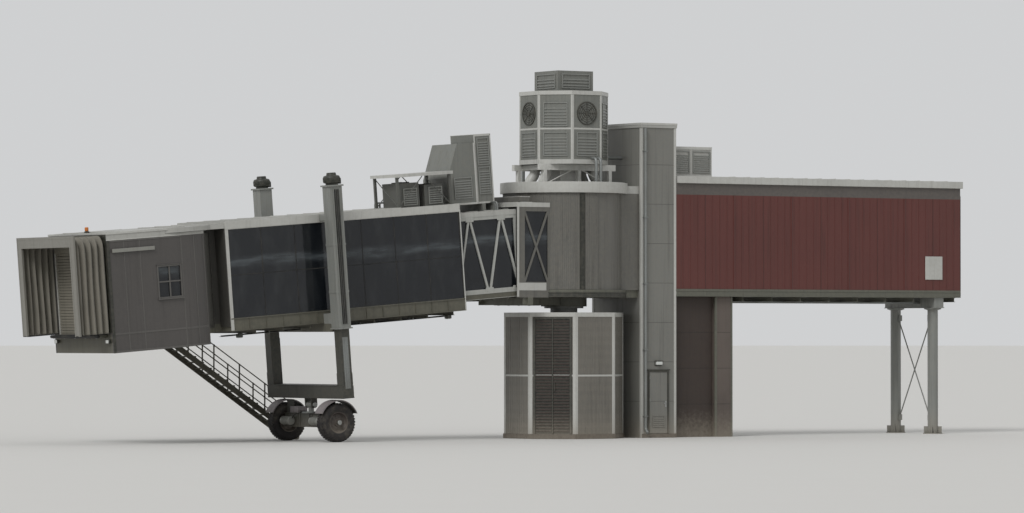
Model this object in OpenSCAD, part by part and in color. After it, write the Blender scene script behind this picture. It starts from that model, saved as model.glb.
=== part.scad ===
// Apron drive passenger boarding bridge: rotunda, two telescoping tunnels, cab, wheel bogie
// and the first bays of the fixed link. Millimetres, +Z up, cab toward -X, link toward +X.
// The origin is on the ground under the middle of the rotunda column.

/* [Levels and slope] */
// Height of the rotunda and link floor above the ground
deck_z = 4900; // [4600:50:5200]
// Slope of the tunnels, down toward the cab, in degrees
slope = 4.5; // [3.5:0.25:5]

/* [Rotunda] */
// Outer radius of the outermost curved curtain
drum_r = 2020; // [2000:5:2060]
// Height from floor to ceiling in the rotunda
drum_h = 3200; // [3100:50:3400]
// Diameter of the steel column
column_d = 900; // [700:20:1000]
// Distance across the flats of the column cladding
cladding_w = 3700; // [3400:50:3800]
// Distance from the rotunda centre to the pitch hinge
hinge_l = 2400; // [2350:10:2450]

/* [Tunnels] */
// Outside width of the inner tunnel
a_w = 2600; // [2500:20:2640]
// Length of the inner tunnel from the hinge
a_len = 9900; // [9500:100:10200]
// Room beside the inner tunnel, from its side to the outside of the outer one
tunnel_gap = 200; // [190:5:240]
// Distance from the hinge to the rear end of the outer tunnel, drawn in
b_rear = 2450; // [2400:10:2600]
// Distance from the hinge to the front end of the outer tunnel
b_front = 11200; // [11000:50:11400]
// Number of truss bays on a side of the inner tunnel
a_bays = 8; // [6:1:9]
// Number of window bays on a side of the outer tunnel
b_bays = 7; // [5:1:9]

/* [Cab] */
// Distance from the end of the outer tunnel to the turning centre of the cab
cab_reach = 1800; // [1795:5:1850]
// Distance from the turning centre to the front of the cab
cab_len = 2650; // [2500:50:2800]
// How far the cab stands out beyond each side of the outer tunnel
cab_out = 390; // [390:5:400]
// Depth of the folding canopy
canopy_len = 1150; // [900:50:1200]

/* [Lift and bogie] */
// Distance from the hinge to the lift columns
lift_u = 7600; // [7400:50:7800]
// Room between the outer tunnel and each lift column
lift_gap = 475; // [475:5:520]
// Side of the square column tube
tube_w = 450; // [420:10:450]
// Tyre diameter
tyre_d = 1250; // [1150:10:1250]
// Tyre width
tyre_w = 400; // [360:10:420]
// Half the distance between the tyre centres
track_y = 1550; // [1500:10:1600]

/* [Tower and link] */
// Distance from the rotunda centre to the tower
tower_x = 2120; // [2120:10:2200]
// Length of the tower along the link
tower_len = 1400; // [1200:50:1600]
// Width of the tower and of the link
link_w = 2900; // [2800:50:3000]
// Height of the tower
tower_h = 10450; // [10000:50:10800]
// Length of one bay of the link
bay_len = 2400; // [2200:50:2600]
// Number of link bays
bays = 5; // [4:1:5]

/* [Hidden] */
$fn = 96;

eps = 1;
seat = 0.3;
gap = 5;
big = 40000;

// Colours
steel_grey = [0.50, 0.51, 0.49];
pale_grey = [0.68, 0.68, 0.66];
wall_grey = [0.46, 0.46, 0.44];
cab_grey = [0.33, 0.32, 0.31];
dark_steel = [0.15, 0.16, 0.15];
glass_dark = [0.12, 0.13, 0.16, 0.75];
beam_grey = [0.36, 0.36, 0.32];
beige = [0.47, 0.45, 0.41];
link_red = [0.40, 0.22, 0.20];
pier_brown = [0.23, 0.19, 0.17];
rubber = [0.10, 0.10, 0.10];
duct_white = [0.80, 0.80, 0.78];

// Rotunda
floor_t = 250;
drum_floor_r = drum_r + 40;
ceiling_z = deck_z + drum_h;
roof_t = 250;
arc_t = 30;
arc_step = 45;
fixed_arc_r = drum_r - 90;
middle_arc_r = drum_r - arc_step;
opening_half = 41;
swing_from = 89.7;
middle_from = 66.5;
middle_span = 48;
plate_t = 60;
collar_z = deck_z - floor_t - 290;
cladding_z = collar_z - 210;
passage_half = 1250;
cheek_t = 60;
rim_h = 80;
rim_w = 60;
eaves = 30;
anchor_r = 780;
rib_l = 230;
rib_h = 400;

// Air unit on the rotunda, on its frame
unit_lift = 700;
unit_flats = 2750;
unit_h = 2400;
unit_cap_w = 1400;
unit_cap_h = 700;
unit_rail_l = 3000;
unit_rail_y = 700;
unit_rail_w = 150;
unit_rail_h = 200;
unit_post_w = 120;
duct_w = 840;

// Swing frame and hood
arm_y = 550;
arm_w = 200;
pin_d = 110;
ear_t = 40;
ear_y = a_w / 2 + 10;
hood_in = ear_y + ear_t + 10;
hood_t = 40;
hood_front = hinge_l + 350;
hood_soffit = deck_z + 2720;
pivot_drop = 100;
ring_r = 760;
pivot_z = deck_z - pivot_drop;

// Inner tunnel, heights above the pitch hinge
deck_a = pivot_drop;
a_bottom = -100;
a_ceiling = 2600;
a_top = 2750;
a_start = 120;
chord = 120;
bar = 70;
glass_t = 20;
a_skin = 60;
a_unit_x = 1200;
a_unit_l = 640;
a_unit_w = 1400;
a_unit_h = 2500;
a_unit_foot = 250;
a_unit2_l = 1100;
a_unit2_w = 1500;
a_unit2_h = 2000;

// Outer tunnel
b_w = a_w + 2 * tunnel_gap;
deck_b = -150;
b_bottom = -400;
b_ceiling = 2850;
b_top = 3050;
sill = 0;
post = 90;
transom_z = 1330;
transom_h = 60;
skin = 60;
door_back = 150;
door_w = 1000;
door_top = deck_b + 2300;
rack_l = 2070;
rack_w = 1450;
rack_y = -1250;
rack_h = 1000;
rack_post = 80;
rack_top_t = 100;

// Cab and bubble
cab_w = b_w + 2 * cab_out;
cab_u = b_front + cab_reach;
cab_wall_t = 60;
cab_top = 3000;
bubble_r = cab_w / 2;
bubble_fixed_r = bubble_r - 110;
bubble_middle_r = bubble_r - cab_wall_t - 4;
throat = 830;
bubble_rest = -250;
cab_disk_r = bubble_fixed_r - 55;
cab_deck_t = 90;
roof_low = 90;
win_x0 = -900;
win_x1 = -120;
win_z0 = 880;
win_z1 = 1820;
folds = 5;
canopy_half = cab_w / 2 - 40;
canopy_high = cab_top - 60;
canopy_wall = 220;
canopy_step = 100;
hoop_half = cab_w / 2 - 10;
hoop_in = hoop_half - 280;
hoop_high = cab_top - 30;
hoop_under = hoop_high - 330;
hoop_t = 60;
shutter_half = cab_w / 2 - 290;
shutter_t = 30;
shutter_top = 2400;
lip_l = 300;
cab_skirt = -730;
cab_ceiling = b_ceiling - 100;

// Lift legs and bogie
lift_y = b_w / 2 + lift_gap + tube_w / 2;
leg_w = tube_w - 101;
tube_bottom = -600;
tube_top = 3980;
head_h = 390;
leg_top = 2600;
beam_z = 1600;
beam_h = 400;
trim_z = 1180;
beam_local = -(pivot_z - beam_z - lift_u * sin(slope)) / cos(slope);
trim_local = -(pivot_z - trim_z - lift_u * sin(slope)) / cos(slope);
bogie_x = -hinge_l - lift_u * cos(slope) - trim_local * sin(slope);
axle_z = tyre_d / 2;
frame_top = 900;

// Landing and stair, in the tunnel frame
walk_from = b_front - door_back - door_w - 100;
stair_u = b_front + 600;
landing_deep = 800;
landing_front = stair_u + landing_deep;
walk_in = b_w / 2 + 30;
stair_in = lift_y + tube_w / 2 + 80;
stair_w = 800;
landing_t = 60;
stair_pin_z = deck_b - landing_t - 40;
stair_run = 5350;
steps = 18;

// Tower and link
tower_end = tower_x + tower_len;
link_end = tower_end + bays * bay_len;
wall_t = 150;
link_bottom = deck_z - 200;
link_wall_h = 3200;
link_h = 3800;
link_wall_top = deck_z + link_wall_h;
link_top = deck_z + link_h;
link_skin = 120;
roof_sheet_t = 200;
roof_sheet_out = 60;
pier_l = 1700;
pier_w = 2300;
pillar_l = 700;
pillar_w = 2600;
support_x = link_end - 900;
support_y = 1050;
support_d = 360;
support_head_h = 350;
support_head_l = 400;
support_head_w = 2800;
link_unit_l = 1700;
link_unit_w = 1800;
link_unit_h = 1000;

// A box from two corners
module block(from, to) {
    translate(from) cube([to[0] - from[0], to[1] - from[1], to[2] - from[2]]);
}

// The same child on both sides of the centre plane
module both_sides() {
    children();
    mirror([0, 1, 0]) children();
}

// The sloping frame of the tunnels, with its origin on the pitch hinge
module tunnel_frame() {
    translate([-hinge_l, 0, pivot_z]) rotate([0, -slope, 0]) children();
}

// The frame of the cab, in the slope of the tunnels, on its turning centre
module cab_frame() {
    tunnel_frame() translate([-cab_u, 0, 0]) children();
}

// A curved wall between two angles
module arc_wall(r_out, t, from, span, z0, z1) {
    translate([0, 0, z0]) rotate([0, 0, from])
        rotate_extrude(angle = span, $fn = 240) translate([r_out - t, 0]) square([t, z1 - z0]);
}

// A straight bar between two points in a plane across Y
module bar_xz(x0, z0, x1, z1, w, y0, y1) {
    run = norm([x1 - x0, z1 - z0]);
    translate([x0, y0, z0]) rotate([0, -atan2(z1 - z0, x1 - x0), 0])
        translate([0, 0, -w / 2]) cube([run, y1 - y0, w]);
}

// A regular eight-sided prism, by the distance across its flats
module octagon(flats, h) {
    rotate([0, 0, 22.5]) cylinder(r = flats / 2 / cos(22.5), h = h, $fn = 8);
}

// Steel column with its base plate, ribs and the collar that carries the swinging frame
module rotunda_column() color(steel_grey) {
    difference() {
        union() {
            cylinder(d = 2 * column_d, h = plate_t);
            cylinder(d = column_d, h = deck_z - floor_t);
            translate([0, 0, collar_z - plate_t]) cylinder(d = column_d + 400, h = plate_t);
            for (i = [0 : 7]) rotate([0, 0, 45 * i])
                translate([column_d / 2 - 20, -15, plate_t - eps]) cube([rib_l + 20, 30, rib_h]);
        }
        for (i = [0 : 11]) rotate([0, 0, 30 * i + 7.5])
            translate([anchor_r, 0, -eps]) cylinder(d = 42, h = plate_t + 2 * eps);
    }
}

// Eight-sided cladding around the column, closed at the top
module column_cladding() color(wall_grey) difference() {
    octagon(cladding_w, cladding_z);
    translate([0, 0, -eps]) octagon(cladding_w - 2 * plate_t, cladding_z - plate_t);
    cylinder(d = column_d + 2 * seat, h = big);
}

// Round floor with its tongue into the tower
module rotunda_floor() color(beam_grey) {
    translate([0, 0, deck_z - floor_t]) cylinder(r = drum_floor_r, h = floor_t);
    block([0, -passage_half, deck_z - floor_t], [tower_x, passage_half, deck_z]);
}

// Round roof with a raised rim
module rotunda_roof() color(pale_grey) translate([0, 0, ceiling_z]) {
    rim_r = drum_floor_r + eaves;
    cylinder(r = rim_r, h = roof_t);
    translate([0, 0, roof_t - eps]) difference() {
        cylinder(r = rim_r, h = rim_h);
        translate([0, 0, -eps]) cylinder(r = rim_r - rim_w, h = big);
    }
    block([0, -passage_half - cheek_t, 0], [tower_x, passage_half + cheek_t, roof_t]);
}

// Fixed curved walls and the straight cheeks to the tower
module rotunda_walls() color(wall_grey) both_sides() {
    arc_wall(fixed_arc_r, 50, opening_half, 91 - opening_half, deck_z + seat, ceiling_z - seat);
    block([fixed_arc_r * cos(opening_half) - 40, passage_half, deck_z + seat],
        [tower_x - seat, passage_half + cheek_t, ceiling_z - seat]);
}

// Beams and duct stubs that carry the roof unit
module roof_unit_frame() color(duct_white) translate([0, 0, ceiling_z + roof_t]) {
    half = unit_rail_l / 2;
    low = unit_lift - unit_rail_h;
    both_sides() {
        block([-half, unit_rail_y, low], [half, unit_rail_y + unit_rail_w, unit_lift]);
        for (x = [150 - half, 0, half - 150 - unit_post_w])
            block([x, unit_rail_y, 0], [x + unit_post_w, unit_rail_y + unit_rail_w, low]);
    }
    for (x = [300 - half, -unit_post_w / 2, half - 300 - unit_post_w])
        block([x, -unit_rail_y, low + 20], [x + unit_post_w, unit_rail_y, unit_lift - 20]);
    block([-duct_w / 2, -duct_w / 2, 0], [duct_w / 2, duct_w / 2, low + 20]);
}

// Eight-sided air unit with a taller middle
module roof_unit() color(steel_grey) translate([0, 0, ceiling_z + roof_t + unit_lift]) {
    octagon(unit_flats, unit_h);
    translate([-unit_cap_w / 2, -unit_cap_w / 2, unit_h]) cube([unit_cap_w, unit_cap_w, unit_cap_h]);
}

// Near and far walls of the tower
module tower_side_walls() color(wall_grey) both_sides()
    block([tower_x, link_w / 2 - wall_t, 0], [tower_end, link_w / 2, tower_h - wall_t]);

// One end wall of the tower with the doorway of the passage
module tower_end(x) {
    side = link_w / 2 - wall_t;
    difference() {
        block([x, -side, 0], [x + wall_t, side, tower_h - wall_t]);
        block([x - eps, -passage_half + 50, deck_z - floor_t],
            [x + wall_t + eps, passage_half - 50, deck_z + 2700]);
    }
}

module tower_end_walls() color(wall_grey) {
    tower_end(tower_x);
    tower_end(tower_end - wall_t);
}

// Flat roof of the tower with a small overhang
module tower_roof() color(pale_grey)
    block([tower_x - eaves, -link_w / 2 - eaves, tower_h - wall_t],
        [tower_end + eaves, link_w / 2 + eaves, tower_h]);

// Floor of the link, which runs on through the tower
module link_floor() color(beam_grey) {
    block([tower_end, -link_w / 2, link_bottom], [link_end, link_w / 2, deck_z]);
    block([tower_x, -passage_half + 50, link_bottom],
        [tower_end + eps, passage_half - 50, deck_z]);
}

// Roof of the link: fascia and a thin top sheet that stands out
module link_roof() color(pale_grey) {
    sheet_z = link_top - roof_sheet_t;
    block([tower_end, -link_w / 2, link_wall_top], [link_end, link_w / 2, sheet_z]);
    block([tower_end + 40, -link_w / 2 - roof_sheet_out, sheet_z],
        [link_end + roof_sheet_out, link_w / 2 + roof_sheet_out, link_top]);
}

// One side wall of the link with upright joints between its bays
module link_wall(sgn) color(link_red) {
    y_out = link_w / 2;
    mirror([0, sgn < 0 ? 1 : 0, 0]) difference() {
        block([tower_end, y_out - link_skin, deck_z], [link_end, y_out, link_wall_top]);
        for (i = [1 : bays - 1])
            block([tower_end + i * bay_len - 10, y_out - 15, deck_z - eps],
                [tower_end + i * bay_len + 10, y_out + eps, link_wall_top + eps]);
    }
}

module link_near_wall() link_wall(-1);
module link_far_wall() link_wall(1);

// Dark pier under the first bay, with a narrow pillar at its end
module link_pier() color(pier_brown) {
    block([tower_end, -pier_w / 2, 0], [tower_end + pier_l, pier_w / 2, link_bottom]);
    block([tower_end + pier_l, -pillar_w / 2, 0],
        [tower_end + pier_l + pillar_l, pillar_w / 2, link_bottom]);
}

// Steel portal under the open end
module link_support() color(steel_grey) {
    head_z = link_bottom - support_head_h;
    both_sides() {
        translate([support_x, support_y, 0]) cylinder(d = support_d, h = head_z);
        translate([support_x, support_y, 0]) cylinder(d = support_d + 280, h = 30);
    }
    block([support_x - support_head_l / 2, -support_head_w / 2, head_z],
        [support_x + support_head_l / 2, support_head_w / 2, link_bottom]);
}

// Low service unit on the link roof, against the tower
module link_roof_unit() color(steel_grey)
    block([tower_end + 150, -link_unit_w / 2, link_top],
        [tower_end + 150 + link_unit_l, link_unit_w / 2, link_top + link_unit_h]);

// Ring on the column, arms, hinge ears with pins, and the deck between drum and hinge
module swing_frame() color(beam_grey) {
    ring_top = deck_z - floor_t - 10;
    sill_x = -hinge_l + 60;
    difference() {
        union() {
            translate([0, 0, collar_z + seat]) cylinder(r = ring_r, h = ring_top - collar_z - seat);
            both_sides() block([sill_x, arm_y - arm_w / 2, ring_top - 240],
                [-600, arm_y + arm_w / 2, ring_top]);
        }
        cylinder(d = column_d + 2 * seat, h = big);
    }
    block([sill_x, -hood_in - hood_t, ring_top - 240], [sill_x + 200, hood_in + hood_t, ring_top]);
    both_sides() {
        block([-hinge_l - 100, ear_y, ring_top - 240], [sill_x + eps, ear_y + ear_t, pivot_z + 100]);
        translate([-hinge_l, ear_y + eps, pivot_z]) rotate([90, 0, 0])
            cylinder(d = pin_d, h = 120);
    }
    difference() {
        union() {
            block([-hinge_l + 120, -hood_in, deck_z - 60], [0, hood_in, deck_z]);
            block([-hinge_l + 20, -a_w / 2 + 140, deck_z - 60], [0, a_w / 2 - 140, deck_z]);
        }
        translate([0, 0, deck_z - 61]) cylinder(r = drum_floor_r + 10, h = 62);
    }
    for (y = [-1, 1]) block([sill_x + 60, y * 900 - 60, ring_top - eps],
        [sill_x + 160, y * 900 + 60, deck_z - 60]);
}

// Sleeve between the drum and the inner tunnel: posts, roof and low side panels
module swing_hood() color(wall_grey) {
    y0 = hood_in;
    y1 = hood_in + hood_t;
    z0 = deck_z - floor_t - 10;
    rear = -sqrt(pow(drum_r - arc_t, 2) - pow(y1, 2));
    both_sides() {
        difference() {
            block([-hood_front, y0, z0], [rear, y1, hood_soffit]);
            block([-hinge_l - 60, y0 - eps, deck_z + 250], [rear - 140, y1 + eps, hood_soffit - 160]);
            cylinder(r = drum_r - arc_t + seat, h = big);
            cylinder(r = drum_floor_r + 10, h = deck_z + gap);
        }
        for (s = [0, 1]) bar_xz(
            -hinge_l - 60, s == 0 ? deck_z + 250 : hood_soffit - 160,
            rear - 140, s == 0 ? hood_soffit - 160 : deck_z + 250, bar, y0 + 4, y1 - 3);
    }
    difference() {
        block([-hood_front, -y1, hood_soffit], [-1200, y1, hood_soffit + 120]);
        translate([0, 0, hood_soffit - 1]) cylinder(r = drum_r - arc_t + seat, h = 200);
    }
    block([-hood_front + 250, -1150, hood_soffit + 120], [-drum_floor_r - 60, 1150, hood_soffit + 320]);
}

// Panes in the sides of the sleeve
module swing_glass() color(glass_dark) both_sides() {
    rear = -sqrt(pow(drum_r - arc_t, 2) - pow(hood_in + hood_t, 2));
    block([-hinge_l - 100, hood_in - 12, deck_z + 210], [rear - 100, hood_in, hood_soffit - 120]);
}

// Outer curved curtains and the header over the sleeve, which swing with the tunnel
module swing_curtains() color(steel_grey) difference() {
    arc_wall(drum_r, arc_t, swing_from, 360 - 2 * swing_from, deck_z + gap, ceiling_z - gap);
    block([-big, -hood_in - hood_t, 0], [0, hood_in + hood_t, hood_soffit + 120]);
}

// Middle curved curtains, which follow at half the angle
module middle_curtains() color(steel_grey) both_sides()
    arc_wall(drum_r - arc_step, arc_t, middle_from, middle_span, deck_z + seat, ceiling_z - gap);

// Floor of the inner tunnel with the hinge lugs
module a_floor() color(beam_grey) tunnel_frame() difference() {
    union() {
        block([-a_len, -a_w / 2, a_bottom], [-40, a_w / 2, deck_a]);
        both_sides() block([-41, a_w / 2 - 120, a_bottom], [0, a_w / 2, deck_a]);
        both_sides() translate([0, a_w / 2, 0]) rotate([90, 0, 0])
            cylinder(r = pivot_drop, h = 120);
    }
    translate([0, big / 2, 0]) rotate([90, 0, 0]) cylinder(d = pin_d + 2 * seat, h = big);
}

// Roof of the inner tunnel
module a_roof() color(pale_grey) tunnel_frame()
    block([-a_len, -a_w / 2, a_ceiling], [-a_start, a_w / 2, a_top]);

// One lattice side of the inner tunnel
module a_side() {
    y0 = a_w / 2 - a_skin;
    y1 = a_w / 2;
    x0 = -a_len;
    x1 = -a_start;
    step = (x1 - x0) / a_bays;
    low = deck_a + chord;
    high = a_ceiling - chord;
    block([x0, y0, deck_a], [x1, y1, low]);
    block([x0, y0, high], [x1, y1, a_ceiling]);
    for (x = [x0, x1 - chord]) block([x, y0, low - eps], [x + chord, y1, high + eps]);
    for (i = [0 : a_bays - 1]) {
        left = x0 + i * step;
        bar_xz(left + 40, low - 50, left + step / 2 - 20, high + 50, bar, y0 + 5, y1 - 5);
        bar_xz(left + step / 2 + 20, high + 50, left + step - 40, low - 50, bar, y0 + 5, y1 - 5);
    }
}

module a_near_side() color(pale_grey) tunnel_frame() mirror([0, 1, 0]) a_side();
module a_far_side() color(pale_grey) tunnel_frame() a_side();

// Glass behind the lattice, on both sides
module a_glass() color(glass_dark) tunnel_frame() both_sides()
    block([-a_len, a_w / 2 - a_skin - glass_t, deck_a], [-a_start, a_w / 2 - a_skin, a_ceiling]);

// Two service boxes on the bare end of the inner tunnel, the front one with a sloping end
module a_roof_unit() color(steel_grey) tunnel_frame() {
    half = a_unit2_w / 2;
    foot_z = a_top + a_unit_foot;
    x1 = -a_unit_x - 30;
    x0 = x1 - a_unit2_l;
    for (x = [x0 + 80, -a_unit_x + 150]) block([x, -half, a_top], [x + 120, half, foot_z]);
    block([-a_unit_x, -a_unit_w / 2, foot_z - eps],
        [-a_unit_x + a_unit_l, a_unit_w / 2, a_top + a_unit_h]);
    block([-a_unit_x + a_unit_l - 100, -half, a_top], [-a_unit_x + a_unit_l - 20, half, foot_z]);
    translate([0, half, foot_z - eps]) rotate([90, 0, 0]) linear_extrude(a_unit2_w)
        polygon([[x0, 0], [x1, 0], [x1, a_unit2_h], [x0 + 430, a_unit2_h], [x0, a_unit2_h - 1100]]);
}

// Floor of the outer tunnel, with pads that run under the inner tunnel
module b_floor() color(beam_grey) tunnel_frame() {
    block([-b_front, -b_w / 2, b_bottom], [-b_rear, b_w / 2, deck_b]);
    both_sides() {
        block([-b_front, b_w / 2 - skin, deck_b - eps], [-b_rear, b_w / 2, sill]);
        block([-b_rear - 400, a_w / 2 - 250, deck_b - eps], [-b_rear - 100, a_w / 2 - 50, a_bottom - seat]);
    }
    block([-lift_u - 200, -lift_y + tube_w / 2, b_bottom - 280],
        [-lift_u + 200, lift_y - tube_w / 2, b_bottom]);
}

// Roof of the outer tunnel
module b_roof() color(pale_grey) tunnel_frame()
    block([-b_front, -b_w / 2 - 20, b_ceiling], [-b_rear, b_w / 2 + 20, b_top]);

// One side frame of the outer tunnel, with or without the doorway to the landing
module b_side(door) {
    y0 = b_w / 2 - skin;
    y1 = b_w / 2 - 12;
    x0 = -b_front;
    x1 = -b_rear;
    door_x = -b_front + door_back;
    difference() {
        block([x0, y0, sill], [x1, y1, b_ceiling]);
        step = (x1 - x0 - post) / b_bays;
        for (i = [0 : b_bays - 1])
            if (!door || i > 0)
                for (z = [[sill + 150, transom_z], [transom_z + transom_h, b_ceiling - 60]])
                    block([x0 + post + i * step, y0 - eps, z[0]],
                        [x0 + (i + 1) * step, y1 + eps, z[1]]);
        if (door) block([door_x, y0 - eps, sill - eps], [door_x + door_w, y1 + eps, door_top]);
    }
}

module b_near_side() color(beam_grey) tunnel_frame() mirror([0, 1, 0]) b_side(false);
module b_far_side() color(beam_grey) tunnel_frame() b_side(true);

// Outer glass skins of the outer tunnel; the far one stops at the landing door
module b_glass() color(glass_dark) tunnel_frame() {
    y = b_w / 2;
    block([-b_front + post, -y, sill], [-b_rear, -y + 12, b_ceiling]);
    block([-b_front + door_back + door_w + 100, y - 12, sill], [-b_rear, y, b_ceiling]);
}

// Framed rack with a flat white top at the rear end of the roof
module b_roof_rack() color(duct_white) tunnel_frame() {
    x1 = -b_rear - 80;
    x0 = x1 - rack_l;
    y1 = rack_y + rack_w;
    top = b_top + rack_h;
    for (x = [x0, x1 - rack_post]) for (y = [rack_y, y1 - rack_post])
        block([x, y, b_top], [x + rack_post, y + rack_post, top]);
    block([x0 - 60, rack_y - 60, top], [x1 + 60, y1 + 60, top + rack_top_t]);
    block([x0 + 250, rack_y + 200, b_top], [x0 + 950, y1 - 140, b_top + 0.8 * rack_h]);
    block([x0 + 1150, rack_y + 200, b_top], [x1 - 200, y1 - 140, b_top + 0.7 * rack_h]);
}

// Fixed floor of the turning joint, with its slewing ring
module bubble_floor() color(beam_grey) cab_frame() {
    difference() {
        union() {
            translate([0, 0, b_bottom]) cylinder(r = bubble_fixed_r, h = bubble_rest - b_bottom);
            block([0, -throat - 50, b_bottom], [cab_reach, throat + 50, deck_b]);
        }
        translate([0, 0, bubble_rest]) cylinder(r = cab_disk_r + 10, h = big);
    }
    translate([0, 0, bubble_rest - eps]) difference() {
        cylinder(r = 1000, h = 10 - seat + eps);
        translate([0, 0, -eps]) cylinder(r = 900, h = big);
    }
}

// Fixed roof over the turning joint
module bubble_roof() color(pale_grey) cab_frame() translate([0, 0, b_ceiling]) {
    intersection() {
        cylinder(r = bubble_r + 70, h = cab_top - b_ceiling);
        block([-big, -big, -1], [cab_reach, big, big]);
    }
    block([0, -b_w / 2, 0], [cab_reach, b_w / 2, cab_top - b_ceiling]);
}

// Fixed curved walls, cheeks and the end panels of the outer tunnel
module bubble_walls() color(wall_grey) cab_frame() both_sides() {
    cheek_x = sqrt(pow(cab_disk_r + 12, 2) - pow(throat, 2));
    front = cab_reach - seat;
    difference() {
        arc_wall(bubble_fixed_r, 40, 29.5, 32.5, bubble_rest + seat, b_ceiling - 2);
        block([0, 0, bubble_rest - eps], [big, throat + 50 + seat, deck_b + seat]);
    }
    block([cheek_x, throat, deck_b + seat], [front, throat + 50, b_ceiling - seat]);
    block([front - 40, throat + 50 - eps, deck_b + seat], [front, b_w / 2, b_ceiling - seat]);
    block([front - 40, throat + 50 + seat, bubble_rest], [front, b_w / 2, deck_b + seat + eps]);
}

// Curved curtains between the fixed walls and the cab, which follow at half the angle
module bubble_curtains() color(cab_grey) cab_frame() both_sides()
    arc_wall(bubble_middle_r, arc_t, 46, 31, deck_b + seat, cab_ceiling - gap);

// Cab floor: turning disk, deck, edge sectors, front beam and lip
module cab_floor() color(beam_grey) cab_frame() {
    z0 = deck_b - cab_deck_t;
    side = cab_w / 2 - cab_wall_t;
    translate([0, 0, z0]) cylinder(r = cab_disk_r, h = cab_deck_t);
    block([-cab_len, -side, z0], [-150, side, deck_b]);
    both_sides() intersection() {
        arc_wall(bubble_r - arc_t, 65, 60, 60, z0, deck_b);
        block([-160, 0, z0 - 1], [big, side - 2, big]);
    }
    block([-cab_len, -side, cab_skirt], [-cab_len + 150, side, z0]);
    block([-cab_len - lip_l, -shutter_half + 50, z0], [-cab_len, shutter_half - 50, deck_b]);
}

// Cab roof: a thin turning part below the fixed roof, raised to its level in front of it
module cab_roof() color(pale_grey) cab_frame() {
    translate([0, 0, cab_ceiling]) {
        cylinder(r = cab_disk_r, h = roof_low);
        block([-cab_len, -cab_w / 2, 0], [-150, cab_w / 2, roof_low]);
        both_sides() arc_wall(bubble_r, 95, 60, 37, 0, roof_low);
    }
    difference() {
        block([-cab_len, -cab_w / 2, cab_ceiling + roof_low - eps], [0, cab_w / 2, cab_top]);
        translate([0, 0, cab_ceiling]) cylinder(r = bubble_r + 85, h = big);
    }
}

// One side wall of the cab with its curved rear part, window opening and outer rail
module cab_wall() {
    y0 = cab_w / 2 - cab_wall_t;
    y1 = cab_w / 2;
    difference() {
        block([-cab_len, y0, cab_skirt], [0, y1, cab_ceiling]);
        block([win_x0, y0 - eps, win_z0], [win_x1, y1 + eps, win_z1]);
    }
    arc_wall(bubble_r, arc_t, 60, 31, cab_skirt, cab_ceiling);
    block([-cab_len, shutter_half, deck_b], [-cab_len + 100, y0 + eps, cab_ceiling]);
    block([(win_x0 + win_x1) / 2 - 20, y1 - 15, win_z0 - eps],
        [(win_x0 + win_x1) / 2 + 20, y1, win_z1 + eps]);
    block([win_x0 - eps, y1 - 15, (win_z0 + win_z1) / 2 - 20],
        [win_x1 + eps, y1, (win_z0 + win_z1) / 2 + 20]);
    block([-cab_len + 150, y1 - eps, 2380], [-1000, y1 + 60, 2480]);
}

module cab_near_wall() color(cab_grey) cab_frame() mirror([0, 1, 0]) cab_wall();
module cab_far_wall() color(cab_grey) cab_frame() cab_wall();

// Panes of the two cab windows
module cab_window() color(glass_dark) cab_frame() both_sides()
    block([win_x0, cab_w / 2 - 45, win_z0], [win_x1, cab_w / 2 - 30, win_z1]);

// Closed roller shutter at the mouth of the cab, with its roll box
module cab_shutter() color(beige) cab_frame() {
    block([-cab_len + 40, -shutter_half, deck_b],
        [-cab_len + 40 + shutter_t, shutter_half, shutter_top]);
    block([-cab_len, -shutter_half, shutter_top], [-cab_len + 320, shutter_half, cab_ceiling]);
}

// An upside-down U across X
module hoop(x0, x1, w_out, w_in, z_out, z_in, z0) {
    difference() {
        block([x0, -w_out, z0], [x1, w_out, z_out]);
        block([x0 - eps, -w_in, z0 - eps], [x1 + eps, w_in, z_in]);
    }
}

// Folded fabric of the canopy
module canopy_bellows() color(beige) cab_frame() {
    pitch = (canopy_len - hoop_t) / (2 * folds + 1);
    for (i = [0 : 2 * folds]) {
        x0 = -cab_len - (i + 1) * pitch;
        in = i % 2 == 0 ? 0 : canopy_step;
        hoop(x0 - (i < 2 * folds ? eps : 0), x0 + pitch - (i == 0 ? seat : 0),
            canopy_half - in, canopy_half - in - canopy_wall,
            canopy_high - in, canopy_high - in - canopy_wall, deck_b + 40);
    }
}

// Front frame of the canopy
module canopy_hoop() color(pale_grey) cab_frame()
    hoop(-cab_len - canopy_len, -cab_len - canopy_len + hoop_t, hoop_half, hoop_in, hoop_high,
        hoop_under, deck_b + 20);

// Square outer tubes of the lift columns with their brackets to the roof edge
module lift_columns() color(steel_grey) tunnel_frame() both_sides() {
    difference() {
        block([-lift_u - tube_w / 2, lift_y - tube_w / 2, tube_bottom],
            [-lift_u + tube_w / 2, lift_y + tube_w / 2, tube_top]);
        block([-lift_u - tube_w / 2 + 50, lift_y - tube_w / 2 + 50, tube_bottom - eps],
            [-lift_u + tube_w / 2 - 50, lift_y + tube_w / 2 - 50, tube_top + eps]);
    }
    block([-lift_u - 150, b_w / 2 + 20, b_ceiling], [-lift_u + 150, lift_y - tube_w / 2 + eps, b_top]);
}

// Dark drive heads on the columns
module column_heads() color(dark_steel) tunnel_frame() both_sides() {
    block([-lift_u - 270, lift_y - 270, tube_top], [-lift_u + 270, lift_y + 270, tube_top + head_h - 90]);
    translate([-lift_u, lift_y, tube_top + head_h - 90 - eps]) cylinder(d = 300, h = 90 + eps);
}

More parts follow.
